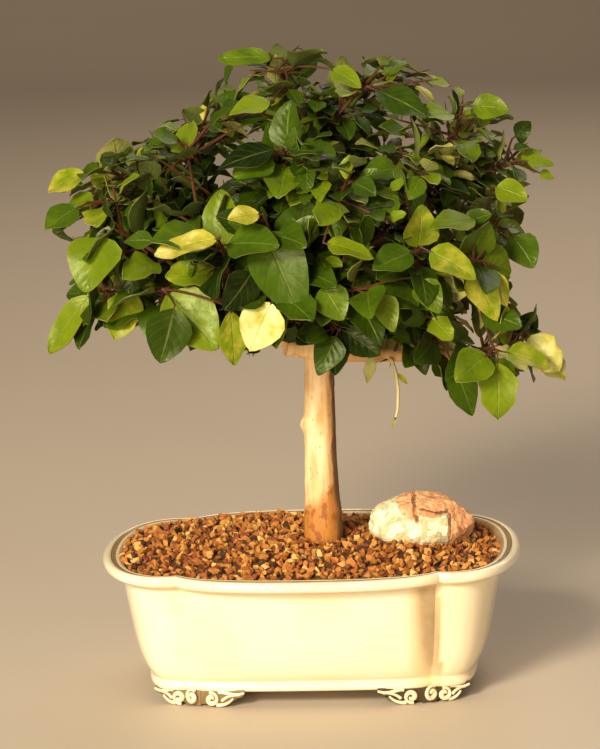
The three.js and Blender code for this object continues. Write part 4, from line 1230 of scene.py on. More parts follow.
def brown_band(place, amount, middle, spread):
    """How brown a band is at a place across it."""
    return amount * math.exp(-((place - middle) / spread) ** 2)


def soil_height(share, x, y):
    """The gravel's level: a low mound, banked up against the back and the left end of the pot."""
    back = clamped((y - SOIL_BANK_FROM) / SOIL_BANK_RUN)
    bank = SOIL_BANK * back * math.exp(-((x - SOIL_BANK_MIDDLE) / SOIL_BANK_HALF) ** 4)
    left = SOIL_LEFT_RISE * clamped((-x - SOIL_LEFT_FROM) / SOIL_LEFT_RUN)
    return SOIL_EDGE + SOIL_MOUND * (1 - share * share) + max(bank, left)


def soil_reach():
    """The soil edge's distance from the middle, by direction."""
    edge = pot_outline(SOIL_EDGE_INSET, *SOIL_OUTLINE)
    return sorted((math.atan2(y, x), math.hypot(x, y)) for x, y in edge)


def reach_at(table, angle):
    for (a, ra), (b, rb) in zip(table, table[1:]):
        if a <= angle <= b:
            return ra + (rb - ra) * (angle - a) / max(b - a, 1e-9)
    return table[0][1]


def any_way(draw):
    """A random direction."""
    return Vector([draw.gauss(0, 1) for _ in range(3)]).normalized()


def stone_cuts(seed):
    """The stone's broken faces: the solid's own, and many small chips."""
    draw = random.Random(seed)
    cuts = [(Vector(direction).normalized(), distance) for direction, distance in STONE_FACES]
    return cuts + [(any_way(draw), draw.uniform(0.9, 0.99)) for _ in range(STONE_CHIPS)]


def stone_reach(way, cuts):
    """How far the stone's surface lies from its middle in a direction, as a share of its half size."""
    reach = min([1] + [distance / way.dot(normal) for normal, distance in cuts if way.dot(normal) > 0.05])
    chips = noise.voronoi(way * 4)[0]
    fine = noise.voronoi(way * 11)[0]
    reach -= 0.045 * max(0, 0.28 - (chips[1] - chips[0]))
    reach -= 0.022 * (fine[1] - fine[0]) + 0.02 * noise.fractal(way * 6, 1, 2, 4)
    if way.z > 0.05 and way.y < 0.3:
        crack = abs(way.x + 0.12 + 0.05 * noise.noise(way * 7))
        reach -= 0.05 * math.exp(-(crack / 0.03) ** 2)
    if way.y < 0:
        left, right, bottom, top = STONE_BLOCK
        x, z = way.x * reach * STONE_HALF.x, way.z * reach * STONE_HALF.z
        inside = min(x - left, right - x, z - bottom, top - z)
        reach += 0.045 * clamped(inside + 0.5) - 0.03 * math.exp(-((inside + 0.6) / 0.5) ** 2)
    return min(reach * 1.03, STONE_MOST)


def grain_meshes(size, draw):
    """A few angular grains, each the hull of a few random points."""
    meshes = []
    for kind in range(GRAIN_KINDS):
        bm = bmesh.new()
        stretch = Vector((1, draw.uniform(0.7, 1), draw.uniform(0.55, 0.85)))
        for _ in range(GRAIN_POINTS):
            bm.verts.new(any_way(draw) * stretch * (size / 2) * draw.uniform(0.86, 1.1))
        hull = bmesh.ops.convex_hull(bm, input=bm.verts)
        bmesh.ops.delete(bm, geom=hull["geom_interior"], context="VERTS")
        bmesh.ops.recalc_face_normals(bm, faces=bm.faces)
        bm.verts.layers.float.new("tone")
        meshes.append(mesh_of(bm, f"grain {kind}"))
    return meshes


def set_tone(mesh, tone):
    mesh.attributes["tone"].data.foreach_set("value", [tone] * len(mesh.vertices))


def stamp(bm, mesh, matrix, tone):
    """Adds a placed copy of a small mesh, with its own tone."""
    copy = mesh.copy()
    copy.transform(matrix)
    set_tone(copy, tone)
    bm.from_mesh(copy)
    bpy.data.meshes.remove(copy)


class BONSAI_OT_add_gravel(bpy.types.Operator):
    """Adds the mounded gravel: a dusty bed and many loose grains on it"""
    bl_idname = "bonsai.add_gravel"
    bl_label = "Add gravel"

    def execute(self, context):
        bm = bmesh.new()
        rings = [[Vector((x, y, z)) for x, y in pot_outline(inset, *SOIL_OUTLINE)] for inset, z in SOIL_SIDES]
        edge = pot_outline(SOIL_EDGE_INSET, *SOIL_OUTLINE)
        for step in range(SOIL_STEPS):
            rings.append([self.bed_point(x, y, 1 - step / SOIL_STEPS, step) for x, y in edge])
        loft(bm, rings)
        make_piece(bm, "gravel_bed", [bed_material()], ["soil"])
        self.scatter(context.scene.bonsai_gravel)
        return {"FINISHED"}

    @staticmethod
    def bed_point(x, y, share, step):
        """A point of the bed on the line from the soil's edge to its middle."""
        level = soil_height(share, x * share, y * share) - BED_BELOW
        return Vector((x * share, y * share, level + noise.noise(Vector((x, y, step)) * share)))

    def scatter(self, settings):
        """Grains on a jittered grid over the mound, clear of the trunk and of the stone."""
        draw = random.Random(settings.seed)
        step = settings.spacing / MM
        kinds = grain_meshes(settings.grain / MM, draw)
        table = soil_reach()
        trunk_centre, trunk_radius = trunk_at(1)
        bm = bmesh.new()
        rows = int(2 * POT_HALF_DEPTH / step)
        columns = int(2 * POT_HALF_LENGTH / step)
        for row in range(rows):
            for column in range(columns):
                x = (column + 0.5 * (row % 2) - columns / 2) * step + draw.uniform(*GRAIN_STRAY) * step
                y = (row - rows / 2) * step + draw.uniform(*GRAIN_STRAY) * step
                size = draw.uniform(0.62, 1.18)
                share = math.hypot(x, y) / (reach_at(table, math.atan2(y, x)) + 0.6)
                z = soil_height(min(share, 1), x, y) + draw.uniform(-1.3, 0.7) + (0.5 - size) * 0.6
                turn = Quaternion([draw.gauss(0, 1) for _ in range(4)]).normalized()
                tone = draw.random()
                kind = draw.choice(kinds)
                place = Vector((x, y, z))
                in_trunk = (place.xy - trunk_centre.xy).length < trunk_radius + TRUNK_CLEAR
                in_stone = in_halves(place - STONE_CENTRE, STONE_HALF).length < STONE_CLEAR
                if share < GRAINS_TO and not in_trunk and not in_stone:
                    stamp(bm, kind, Matrix.LocRotScale(place, turn, Vector((size,) * 3)), tone)
        make_piece(bm, "gravel_grains", [gravel_material()], crease=0.2)


class BONSAI_OT_add_stone(bpy.types.Operator):
    """Adds the broken, crystalline accent stone"""
    bl_idname = "bonsai.add_stone"
    bl_label = "Add stone"

    def execute(self, context):
        bm = bmesh.new()
        bmesh.ops.create_icosphere(bm, subdivisions=6, radius=1)
        cuts = stone_cuts(STONE_SEED)
        for vert in bm.verts:
            way = vert.co.normalized()
            vert.co = STONE_CENTRE + way * STONE_HALF * stone_reach(way, cuts)
        material = stone_material(context.scene.bonsai_stone)
        make_piece(bm, "accent_rock", [material], ["accent_stone"], crease=0.3)
        return {"FINISHED"}


class BONSAI_OT_add_wood(bpy.types.Operator):
    """Adds the trunk with its knob and cut stub, the limbs and the branchlets"""
    bl_idname = "bonsai.add_wood"
    bl_label = "Add trunk and limbs"

    def execute(self, context):
        bm = bmesh.new()
        loft(bm, [self.trunk_ring((len(TRUNK) - 1) * step / TRUNK_STEPS) for step in range(TRUNK_STEPS + 1)])
        run = STUB_TO - STUB_FROM
        centres = [STUB_FROM + run * share for share, _ in STUB_STEPS]
        stem(bm, centres, [STUB_RADIUS * width for _, width in STUB_STEPS], STUB_SIDES)
        collar, fade = LIMB_COLLAR
        steps = range(LIMB_STEPS + 1)
        noise.seed_set(LIMB_SEED)
        for name, (*_, start, end) in LIMBS.items():
            path = curve_steps(limb_control(name), 0, 1, LIMB_STEPS)
            radii = [start + (end - start) * i / LIMB_STEPS + collar * math.exp(-i / fade) for i in steps]
            stem(bm, [p + noise.noise_vector(p * 0.09) * 0.35 for p in path], radii, LIMB_SIDES)
        radii = tapered(BRANCHLET_RADIUS, TWIG_RADIUS, BRANCHLET_STEPS)
        for spray in all_sprays():
            stem(bm, curve_steps(spray["curve"], 0, spray["leafy"], BRANCHLET_STEPS), radii, BRANCHLET_SIDES)
        make_piece(bm, "tree_wood", [bark_material(context.scene.bonsai_wood)], ["trunk_and_limbs"])
        return {"FINISHED"}

    @staticmethod
    def trunk_ring(place):
        """A ring of bark, with shallow flutes, a few old scars, and the knob on its left side."""
        centre, radius = trunk_at(place)
        below_limbs = clamped((BARK_TOP - centre.z) / BARK_RUN)
        centre += BARK_SHIFT * below_limbs
        radius *= 1 + (BARK_SHARE - 1) * below_limbs
        height, middle, fade = FLARE
        flare = height * math.exp(-abs(centre.z - middle) / fade)
        ring = []
        for k in range(TRUNK_SIDES):
            turn = 2 * math.pi * k / TRUNK_SIDES
            way = Vector((math.cos(turn), math.sin(turn), 0))
            point = centre + way * radius
            swell = 0.35 * noise.fractal(Vector((way.x * 1.6, way.y * 1.6, centre.z * 0.03)), 1, 2, 3)
            swell += 0.16 * noise.noise(Vector((way.x * 5, way.y * 5, centre.z * 0.12)))
            swell += flare * (0.7 + 0.5 * math.cos(3 * turn + 1))
            for knob, spread, out in KNOBS:
                swell += out * math.exp(-((point - knob).length / spread) ** 2)
            ring.append(centre + way * (radius + swell))
        return ring


def tapered(start, end, steps):
    """The shown radii along a branchlet or a twig."""
    return [TWIG_LOOK * (start + (end - start) * i / steps) for i in range(steps + 1)]


def seeded(seed):
    """Repeatable random numbers, the same sequence as the solids use."""
    state = seed

    def draw():
        nonlocal state
        state = (state * 16807) % 2147483647
        return state / 2147483647

    draw()
    draw()
    return draw


def tangent(points, t):
    step = 1e-4
    return (bezier(points, min(1, t + step)) - bezier(points, max(0, t - step))).normalized()


def all_sprays():
    """Each spray's curve from its limb to its tip, where its leafy twig starts, and its leaf length."""
    sprays = []
    for number, (limb, along, tip, size) in enumerate(SPRAYS):
        on_trunk = limb == "trunk"
        start = trunk_at(along * (len(TRUNK) - 1))[0] if on_trunk else bezier(limb_control(limb), along)
        end = Vector(tip)
        span = (end - start).length
        control = start.lerp(end, 0.5) + UP * ARCH * span
        length = (span + (control - start).length + (end - control).length) / 2
        leafy = max(0.25, 1 - TWIG_LENGTH / length)
        sprays.append({"number": number, "curve": [start, control, end], "leafy": leafy, "size": size})
    return sprays


def twig_ring(spray, t, slide):
    """The corners of the twig's section, as the solids have them."""
    along = tangent(spray["curve"], t)
    centre = bezier(spray["curve"], t) + along * slide
    share = (t - spray["leafy"]) / (1 - spray["leafy"])
    radius = TWIG_RADIUS + (TWIG_TIP_RADIUS - TWIG_RADIUS) * share
    return section(centre, along, radius, TWIG_CORNERS, along.cross(UP).normalized(), -0.5)


def leaf_pose(spray, leaf, attempt):
    """Where a leaf grows and how it is held, by the rule that the solids follow."""
    number = spray["number"]
    parts = (1, number, leaf, attempt)
    draw = seeded(sum(factor * part for factor, part in zip(LEAF_SEED.values(), parts)))
    length_draw, droop_draw, turn_draw = draw(), draw(), draw() - 0.5
    stray = Vector((draw() - 0.5, draw() - 0.5, draw() - 0.5))
    width_draw = draw()
    stalk = STALK_LENGTH * (STALK["least"] + STALK["varies"] * draw())
    terminal = leaf == LEAVES - 1
    pair = leaf // 2
    t = 1 if terminal else spray["leafy"] + (1 - spray["leafy"]) * PAIR_AT[pair]
    way = tangent(spray["curve"], t)
    if terminal:
        seat = twig_ring(spray, 1, 0)
    else:
        side = (pair + 2 * (leaf % 2)) % TWIG_CORNERS
        low, high = twig_ring(spray, t, -NODE_LENGTH / 2), twig_ring(spray, t, NODE_LENGTH / 2)
        seat = [low[side], low[(side + 1) % 4], high[(side + 1) % 4], high[side]]
    root = sum(seat, Vector()) / 4
    outward = (root - CROWN_CENTRE).normalized()
    if not terminal:
        way = way * LEAN["along"] * (1 + turn_draw) + (root - bezier(spray["curve"], t)).normalized()
    droop = LEAN["down"] + LEAN["down_more"] * droop_draw + (LEAN["down_low"] if root.z < LOW_CROWN else 0)
    way = (way + outward * LEAN["outward"] - UP * droop + stray * LEAN["stray"] * attempt).normalized()
    loss = 1 - SIZE["loss"] * attempt
    length = spray["size"] * (SIZE["least"] + SIZE["varies"] * length_draw) * loss
    face = outward * FACING["outward"] + UP * FACING["up"] + stray * FACING["stray"]
    if (number, leaf) in FRONT_LEAVES:
        tip, face = (Vector(row) for row in FRONT_LEAVES[number, leaf])
        reach = tip - root
        length = (reach.length - stalk) * loss
        way = reach.normalized()
        face += stray * LEAN["stray"] * attempt
    width = length * LEAF_WIDTH * (WIDTH["least"] + WIDTH["varies"] * width_draw)
    face = square_to(face, way)
    return {"root": root, "way": way, "face": face, "stalk": stalk, "length": length, "width": width}


def grown_leaves(spray):
    """The leaves that the solids have on a spray: for each, the try whose tip is found in the node's mesh."""
    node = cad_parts[f"spray_{spray['number'] + 1:02d}"]
    tree = KDTree(len(node.data.vertices))
    for i, vertex in enumerate(node.data.vertices):
        tree.insert(vertex.co, i)
    tree.balance()
    leaves = []
    for leaf in range(LEAVES):
        for attempt in range(LEAF_TRIES):
            pose = leaf_pose(spray, leaf, attempt)
            length = pose["length"]
            lift = LEAF_THICKNESS / 2 - LEAF_CURL * length
            tip = pose["root"] + pose["way"] * (pose["stalk"] + length) + pose["face"] * lift
            if tree.find(TO_METRES @ tip)[2] < TIP_NEAR * MM:
                leaves.append((leaf, pose))
                break
    return leaves


def blade_mesh(name, rows, widths, columns, thickness, quirk):
    """A leaf template, 1 long and 1 wide from base to tip along Y, whose edges wave by its quirk."""
    bm = bmesh.new()
    bm.loops.layers.uv.new("leaf")
    bm.verts.layers.float.new("tone")
    under = bm.verts.layers.float.new("under")
    last = len(rows) - 1
    bmesh.ops.create_grid(bm, x_segments=columns, y_segments=last, size=1, calc_uvs=True)
    for vert in bm.verts:
        row = round((vert.co.y + 1) / 2 * last)
        side = vert.co.x
        half = widths[row] / 2
        y = rows[row]
        wave = BLADE_WAVE * math.sin(9 * y + quirk + (2 if side > 0 else 0)) * abs(side) ** 1.5
        vert.co = Vector((side * half * (1 + 0.05 * math.sin(5 * y + quirk)), y - 0.02 * abs(side), wave))
    top = set(bm.verts)
    bmesh.ops.recalc_face_normals(bm, faces=bm.faces)
    if sum((face.normal for face in bm.faces), Vector()).z < 0:
        bmesh.ops.reverse_faces(bm, faces=bm.faces)
    bmesh.ops.solidify(bm, geom=bm.faces[:], thickness=thickness)
    for vert in bm.verts:
        vert[under] = 0 if vert in top else 1
    return mesh_of(bm, name)


def small_leaf_mesh(name, widths, quirk):
    """A whole small leaf, 1 long, folded and curled, on a stalk that starts at its origin."""
    blade = blade_mesh(name, SMALL_ROWS, widths, SMALL_COLUMNS, SMALL_THICK, quirk)
    for vertex in blade.vertices:
        x, y, z = vertex.co
        x *= LEAF_WIDTH
        vertex.co = (x, y + SMALL_STALK, z + LEAF_FOLD * abs(x) - LEAF_CURL * y * y)
    bm = bmesh.new()
    bm.from_mesh(blade)
    path = [Vector((0, SMALL_STALK * share, 0.02 * math.sin(math.pi * share))) for share in (-0.1, 0.5, 1.25)]
    stem(bm, path, [0.03, 0.022, 0.012], 3, 1)
    bm.to_mesh(blade)
    bm.free()
    return blade


def shoot_mesh():
    """A thin side shoot, 1 long, as thick as it is stamped."""
    bm = bmesh.new()
    bm.verts.layers.float.new("tone")
    path = [Vector(place) for place in ((0, -0.04, 0), (0.5, 0.3, 0.3), (-0.3, 0.65, 0.5), (0, 1, 0))]
    stem(bm, path, [0.75, 0.6, 0.5, 0.36], 5, 1)
    return mesh_of(bm, "side shoot")


def big_blades():
    """Flat blades for the large leaves, by shape."""
    return {
        name: blade_mesh(name, BLADE_ROWS, widths, BLADE_COLUMNS, BLADE_THICK, quirk)
        for quirk, (name, widths) in enumerate(BLADE_SHAPES.items())
    }


def axes_matrix(across, along, up, origin):
    """The matrix with these axes, whose lengths are the scale."""
    return Matrix.Translation(origin) @ Matrix((across, along, up)).transposed().to_4x4()


def stamp_leaf(bm, template, pose, tone):
    """A whole small leaf, stretched to its length and width."""
    way, face, length = pose["way"], pose["face"], pose["length"]
    across = way.cross(face) * pose["width"] / LEAF_WIDTH
    stamp(bm, template, axes_matrix(across, way * length, face * length, pose["root"]), tone)


def add_leaf(bm, template, pose, tone, stalk_sides=STALK_SIDES):
    """A leaf on its stalk: the template stretched, folded along its midrib, curled down, and placed."""
    root, way, face = pose["root"], pose["way"], pose["face"]
    length, width, stalk = pose["length"], pose["width"], pose["stalk"]
    across = way.cross(face)
    fold = pose.get("fold", LEAF_FOLD)
    copy = template.copy()
    for vertex in copy.vertices:
        x = vertex.co.x * width
        y = vertex.co.y * length
        z = vertex.co.z * length + fold * abs(x) - LEAF_CURL * y * y / length
        vertex.co = root + across * x + way * (stalk + y) + face * z
    set_tone(copy, tone)
    bm.from_mesh(copy)
    bpy.data.meshes.remove(copy)
    shares = (-0.1, 0.35, 0.75, 1.12)
    path = [root + way * (stalk * s) + face * (-0.06 * stalk * math.sin(math.pi * s)) for s in shares]
    stem(bm, path, [0.62, 0.45, 0.42, 0.22], stalk_sides, 1)


def leaf_tone(draw, place):
    """Leaves are darker inside the crown as painted shade, some young ones light near its outside, and all
    lighter at the right and on top as painted light.
    """
    outer = clamped((in_halves(place - CROWN_CENTRE, CROWN_HALF).length - OUTER_FROM) / OUTER_RUN)
    tone = draw.betavariate(2.3, 2.5) * (0.26 + 0.6 * outer)
    if draw.random() < YOUNG_SHARE * outer:
        tone = draw.uniform(*YOUNG_TONES)
    # Painted light: lighter towards the right and towards the top.
    return tone + min(0.16, max(0, (place.x - 30) / 300)) + min(0.06, max(0, (place.z - 262) / 400))


class BONSAI_OT_add_sprays(bpy.types.Operator):
    """Adds every leafy spray: its twig, and its stalked leaves where the frame has them"""
    bl_idname = "bonsai.add_sprays"
    bl_label = "Add leafy sprays"

    def execute(self, context):
        materials = foliage_materials(context.scene)
        blades = big_blades()
        crown = CrownShape(context.scene.bonsai_stage)
        radii = tapered(TWIG_RADIUS, TWIG_TIP_RADIUS, TWIG_STEPS)
        for spray in all_sprays():
            number = spray["number"]
            draw = random.Random(SPRAY_SEED + number)
            bm = bmesh.new()
            path = curve_steps(spray["curve"], spray["leafy"], 1, TWIG_STEPS)
            path[0] += (path[1] - path[0]).normalized() * TWIG_GAP
            stem(bm, path, radii, TWIG_SIDES, 1)
            for leaf, pose in grown_leaves(spray):
                shape = draw.choice(list(blades))
                tip = pose["root"] + pose["way"] * pose["length"]
                tone = leaf_tone(draw, tip) * crown.shade(tip)
                if (number, leaf) in FRONT_LOOKS:
                    shape, tone, wide = FRONT_LOOKS[number, leaf]
                    pose["width"] = pose["length"] * LEAF_WIDTH * wide
                    pose["fold"] = SHOWN_FOLD
                pose["width"] *= BLADE_LOOK
                pose["length"] *= SHORTER.get((number, leaf), 1)
                add_leaf(bm, blades[shape], pose, tone)
            node = f"spray_{number + 1:02d}"
            make_piece(bm, f"leafy_{node}", materials, [node])
        return {"FINISHED"}


def foliage_materials(scene):
    return [
        material_once("glossy leaf", leaf_material, scene.bonsai_leaf),
        material_once("young twig", twig_material, scene.bonsai_wood),
    ]


def camera_back(settings):
    """The direction from the tree to the camera."""
    azimuth, elevation = settings.azimuth, settings.elevation
    level = math.cos(elevation)
    return Vector((math.sin(azimuth) * level, -math.cos(azimuth) * level, math.sin(elevation)))


class CrownShape:
    """Tells whether a leaf has room: inside the crown's edge and box, clear of windows and other leaves."""

    def __init__(self, settings):
        self.eye = CAMERA_AIM + camera_back(settings) * settings.distance / MM
        self.low, self.high = (TO_METRES.inverted() @ Vector(corner) for corner in CAD_BOUNDS)
        self.cells = {}
        self.shown = []

    def show(self, base, tip, width):
        """Keeps nearer leaves off a leaf that shows."""
        self.shown.append((self.seen(base), self.seen(tip), width * 0.62 + 2, max(base.y, tip.y) + 3))

    def seen(self, place):
        """Where the camera sees a place, on the plane through the trunk."""
        return self.eye.lerp(place, self.eye.y / (self.eye.y - place.y))

    def shade(self, place):
        """The leaves in the dark hollow are nearly black."""
        return HOLLOW_SHADE if self.within(self.seen(place), OPEN_WINDOWS[-1]) else 1

    @staticmethod
    def within(spot, window):
        left, right, bottom, top, _ = window
        return left < spot.x < right and bottom < spot.z < top

    def inside(self, place):
        spot = self.seen(place)
        if any(p < a + BOX_MARGIN or p > b - BOX_MARGIN for p, a, b in zip(place, self.low, self.high)):
            return False
        if any(place.y < window[-1] and self.within(spot, window) for window in OPEN_WINDOWS):
            return False
        for base, tip, half_width, near in self.shown:
            run = tip - base
            share = min(1, max(0.1, (spot - base).dot(run) / run.length_squared))
            if place.y < near and (spot - base - run * share).length < half_width:
                return False
        crossings = 0
        for (x1, z1), (x2, z2) in zip(CROWN_EDGE, CROWN_EDGE[1:] + CROWN_EDGE[:1]):
            if (z1 > spot.z) != (z2 > spot.z) and spot.x < x1 + (x2 - x1) * (spot.z - z1) / (z2 - z1):
                crossings += 1
        return crossings % 2 == 1

    def claim(self, middle):
        """Takes the place of a leaf's middle, unless another leaf is there already."""
        x, y, z = (int(c // LEAF_APART) for c in middle)
        for step in product((-1, 0, 1), repeat=3):
            for other in self.cells.get((x + step[0], y + step[1], z + step[2]), ()):
                if (other - middle).length < LEAF_APART:
                    return False
        self.cells.setdefault((x, y, z), []).append(middle)
        return True


class BONSAI_OT_add_small_leaves(bpy.types.Operator):
    """Adds the side shoots, with smaller leaves, that fill the crown between the sprays"""
    bl_idname = "bonsai.add_small_leaves"
    bl_label = "Add small leaves"

    def execute(self, context):
        settings = context.scene.bonsai_leaf
        self.small = [small_leaf_mesh(*shape, quirk) for quirk, shape in enumerate(SMALL_SHAPES.items())]
        self.shoot = shoot_mesh()
        self.seed = settings.seed
        self.grown = 0
        self.crown = CrownShape(context.scene.bonsai_stage)
        self.groups = {}
        sprays = all_sprays()
        self.keep_places(sprays)
        for number, along, tip in EDGE_SHOOTS:
            base = bezier(sprays[number]["curve"], along)
            run = Vector(tip) - base
            self.leafy_shoot(self.next_draw(), base, run.normalized(), run.length, EDGE_LEAF)
        for spray in sprays:
            leaf = spray["size"] * SPRAY_SHOOT_LEAF
            self.side_shoots(SPRAY_SHOOTS * settings.amount, spray["curve"], *SPRAY_PART, leaf)
        for name in LIMBS:
            self.side_shoots(LIMB_SHOOTS * settings.amount, limb_control(name), *LIMB_PART, LIMB_SHOOT_LEAF)
        for _ in range(round(LEADER_SHOOTS * settings.amount)):
            draw = self.next_draw()
            self.side_shoot(draw, trunk_at(draw.uniform(*LEADER_PART))[0], UP, LEADER_SHOOT_LEAF)
        materials = foliage_materials(context.scene)
        for name, bm in self.groups.items():
            make_piece(bm, f"small_leaves_{name}", materials)
        return {"FINISHED"}

    def keep_places(self, sprays):
        """The large leaves have their places before any small one."""
        for _, _, base, tip, _, _, _, wide in SHOWN_LEAVES:
            base, tip = Vector(base), Vector(tip)
            self.crown.show(base, tip, (tip - base).length * wide)
            self.crown.claim(base.lerp(tip, 0.55))
        for spray in sprays:
            for leaf, pose in grown_leaves(spray):
                base = pose["root"] + pose["way"] * pose["stalk"]
                tip = base + pose["way"] * pose["length"]
                self.crown.claim(base.lerp(tip, 0.5))
                if (spray["number"], leaf) in FRONT_LOOKS:
                    self.crown.show(base, tip, pose["width"])

    def next_draw(self):
        """Each shoot has random numbers of its own."""
        self.grown += 1
        return random.Random(self.seed * 10000 + self.grown)

    def side_shoots(self, count, curve, low, high, size):
        """Shoots at random places along a curve."""
        for _ in range(round(count)):
            draw = self.next_draw()
            t = draw.uniform(low, high)
            self.side_shoot(draw, bezier(curve, t), tangent(curve, t), size)

    def side_shoot(self, draw, base, along, size):
        """A short shoot out to any side of its twig."""
        sideways = turned(self.beside(along), along, draw.uniform(0, 2 * math.pi))
        outward = (base - CROWN_CENTRE).normalized()
        way = sideways + along * draw.uniform(0.1, 0.9) + outward * 0.5 + UP * draw.uniform(-0.1, 0.4)
        self.leafy_shoot(draw, base, way.normalized(), draw.uniform(*SHOOT_LENGTH), size)

    def leafy_shoot(self, draw, base, way, length, size):
        """One thin shoot with leaves along it and one at its tip, where the crown has room for them."""
        turn = draw.uniform(0, 2 * math.pi)
        count = max(3, round(length / LEAF_SPACING))
        poses = []
        for i in range(count):
            share = 0.25 + 0.75 * i / (count - 1)
            root = base + way * length * share
            pose = self.leaf_pose(draw, root, way, i == count - 1, size, turn + LEAF_TURN * i)
            run = pose["way"] * pose["length"]
            middle = root + run * (SMALL_STALK + 0.5)
            tip = root + run * (SMALL_STALK + 1)
            if all(self.crown.inside(place) for place in (root, middle, tip)) and self.crown.claim(middle):
                poses.append((share, pose))
        if not poses:
            return
        reach = length * poses[-1][0]
        bm = self.groups.setdefault(self.group_at(base + way * reach), bmesh.new())
        across = way.cross(Vector((0.2, 0.1, 1))).normalized()
        stamp(bm, self.shoot, axes_matrix(across, way * reach, across.cross(way), base), 0.5)
        for _, pose in poses:
            tip = pose["root"] + pose["way"] * pose["length"]
            tone = leaf_tone(draw, tip) * self.crown.shade(tip)
            stamp_leaf(bm, draw.choice(self.small), pose, tone)

    @staticmethod
    def group_at(tip):
        """The piece of the crown that a shoot belongs to."""
        side = "left" if tip.x < PIECE_SIDES[0] else "right" if tip.x > PIECE_SIDES[1] else "middle"
        level = "low" if tip.z < PIECE_LEVELS[0] else "mid" if tip.z < PIECE_LEVELS[1] else "high"
        return f"{level}_{side}"

    @staticmethod
    def beside(along):
        return along.cross(Vector((0.1, 0.2, 1))).normalized()

    def leaf_pose(self, draw, root, along, terminal, size, turn):
        """How one small leaf is held: out to a side of its shoot, or on at its tip, and drooping."""
        sideways = turned(self.beside(along), along, turn)
        outward = (root - CROWN_CENTRE).normalized()
        way = along if terminal else sideways + along * draw.uniform(0.3, 1)
        way = (way + outward * 0.3 - UP * draw.uniform(*SMALL_DROOP)).normalized()
        face = outward * 0.7 + UP * 0.7 + Vector([draw.uniform(-0.5, 0.5) for _ in range(3)])
        length = size * draw.uniform(*SMALL_LENGTH)
        width = length * draw.uniform(*SMALL_WIDTH)
        return {"root": root, "way": way, "face": square_to(face, way), "length": length, "width": width}


class BONSAI_OT_add_front_leaves(bpy.types.Operator):
    """Adds more of the single leaves that show at the front, each on its own thin shoot"""
    bl_idname = "bonsai.add_front_leaves"
    bl_label = "Add front leaves"

    def execute(self, context):
        blades = big_blades()
        sprays = all_sprays()
        bm = bmesh.new()
        for number, along, base, tip, face, shape, tone, wide in SHOWN_LEAVES:
            base = Vector(base)
            run = Vector(tip) - base
            way = run.normalized()
            length = run.length - SHOWN_STALK
            pose = {
                "root": base, "way": way, "face": square_to(Vector(face), way), "stalk": SHOWN_STALK,
                "length": length, "width": length * wide, "fold": SHOWN_FOLD,
            }
            add_leaf(bm, blades[shape], pose, tone)
            start = bezier(sprays[number]["curve"], along)
            middle = start.lerp(base, 0.5) + UP * 0.08 * (base - start).length
            stem(bm, curve_steps([start, middle, base], 0, 1, 5), SHOWN_SHOOT_RADII, 6, 1)
        make_piece(bm, "front_leaves", foliage_materials(context.scene))
        return {"FINISHED"}


class BONSAI_OT_add_hanging_shoot(bpy.types.Operator):
    """Adds the thin pale shoot that hangs below the crown on the right"""
    bl_idname = "bonsai.add_hanging_shoot"
    bl_label = "Add hanging shoot"

    def execute(self, context):
        blade = big_blades()["slim"]
        bm = bmesh.new()
        start = bezier(limb_control("right_low"), HANGING_FROM)
        path = [start + Vector(drop) for drop in HANGING_DROPS]
        stem(bm, path, HANGING_RADII, 6, 2)
        for place, way, length, width in HANGING_LEAVES:
            way = Vector(way).normalized()
            pose = {
                "root": path[place], "way": way, "face": square_to(HANGING_FACE, way), "stalk": 1.2,
                "length": length, "width": width,
            }
            add_leaf(bm, blade, pose, 0.99, 3)
        make_piece(bm, "hanging_shoot", foliage_materials(context.scene) + [shoot_material()])
        return {"FINISHED"}


class BONSAI_OT_dress_drain_mesh(bpy.types.Operator):
    """Gives the two squares of drain netting their plastic"""
    bl_idname = "bonsai.dress_drain_mesh"
    bl_label = "Dress drain mesh"

    def execute(self, context):
        material = netting_material()
        for name in ("drain_mesh_left", "drain_mesh_right"):
            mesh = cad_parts[name].data
            mesh.materials.clear()
            mesh.materials.append(material)
        return {"FINISHED"}


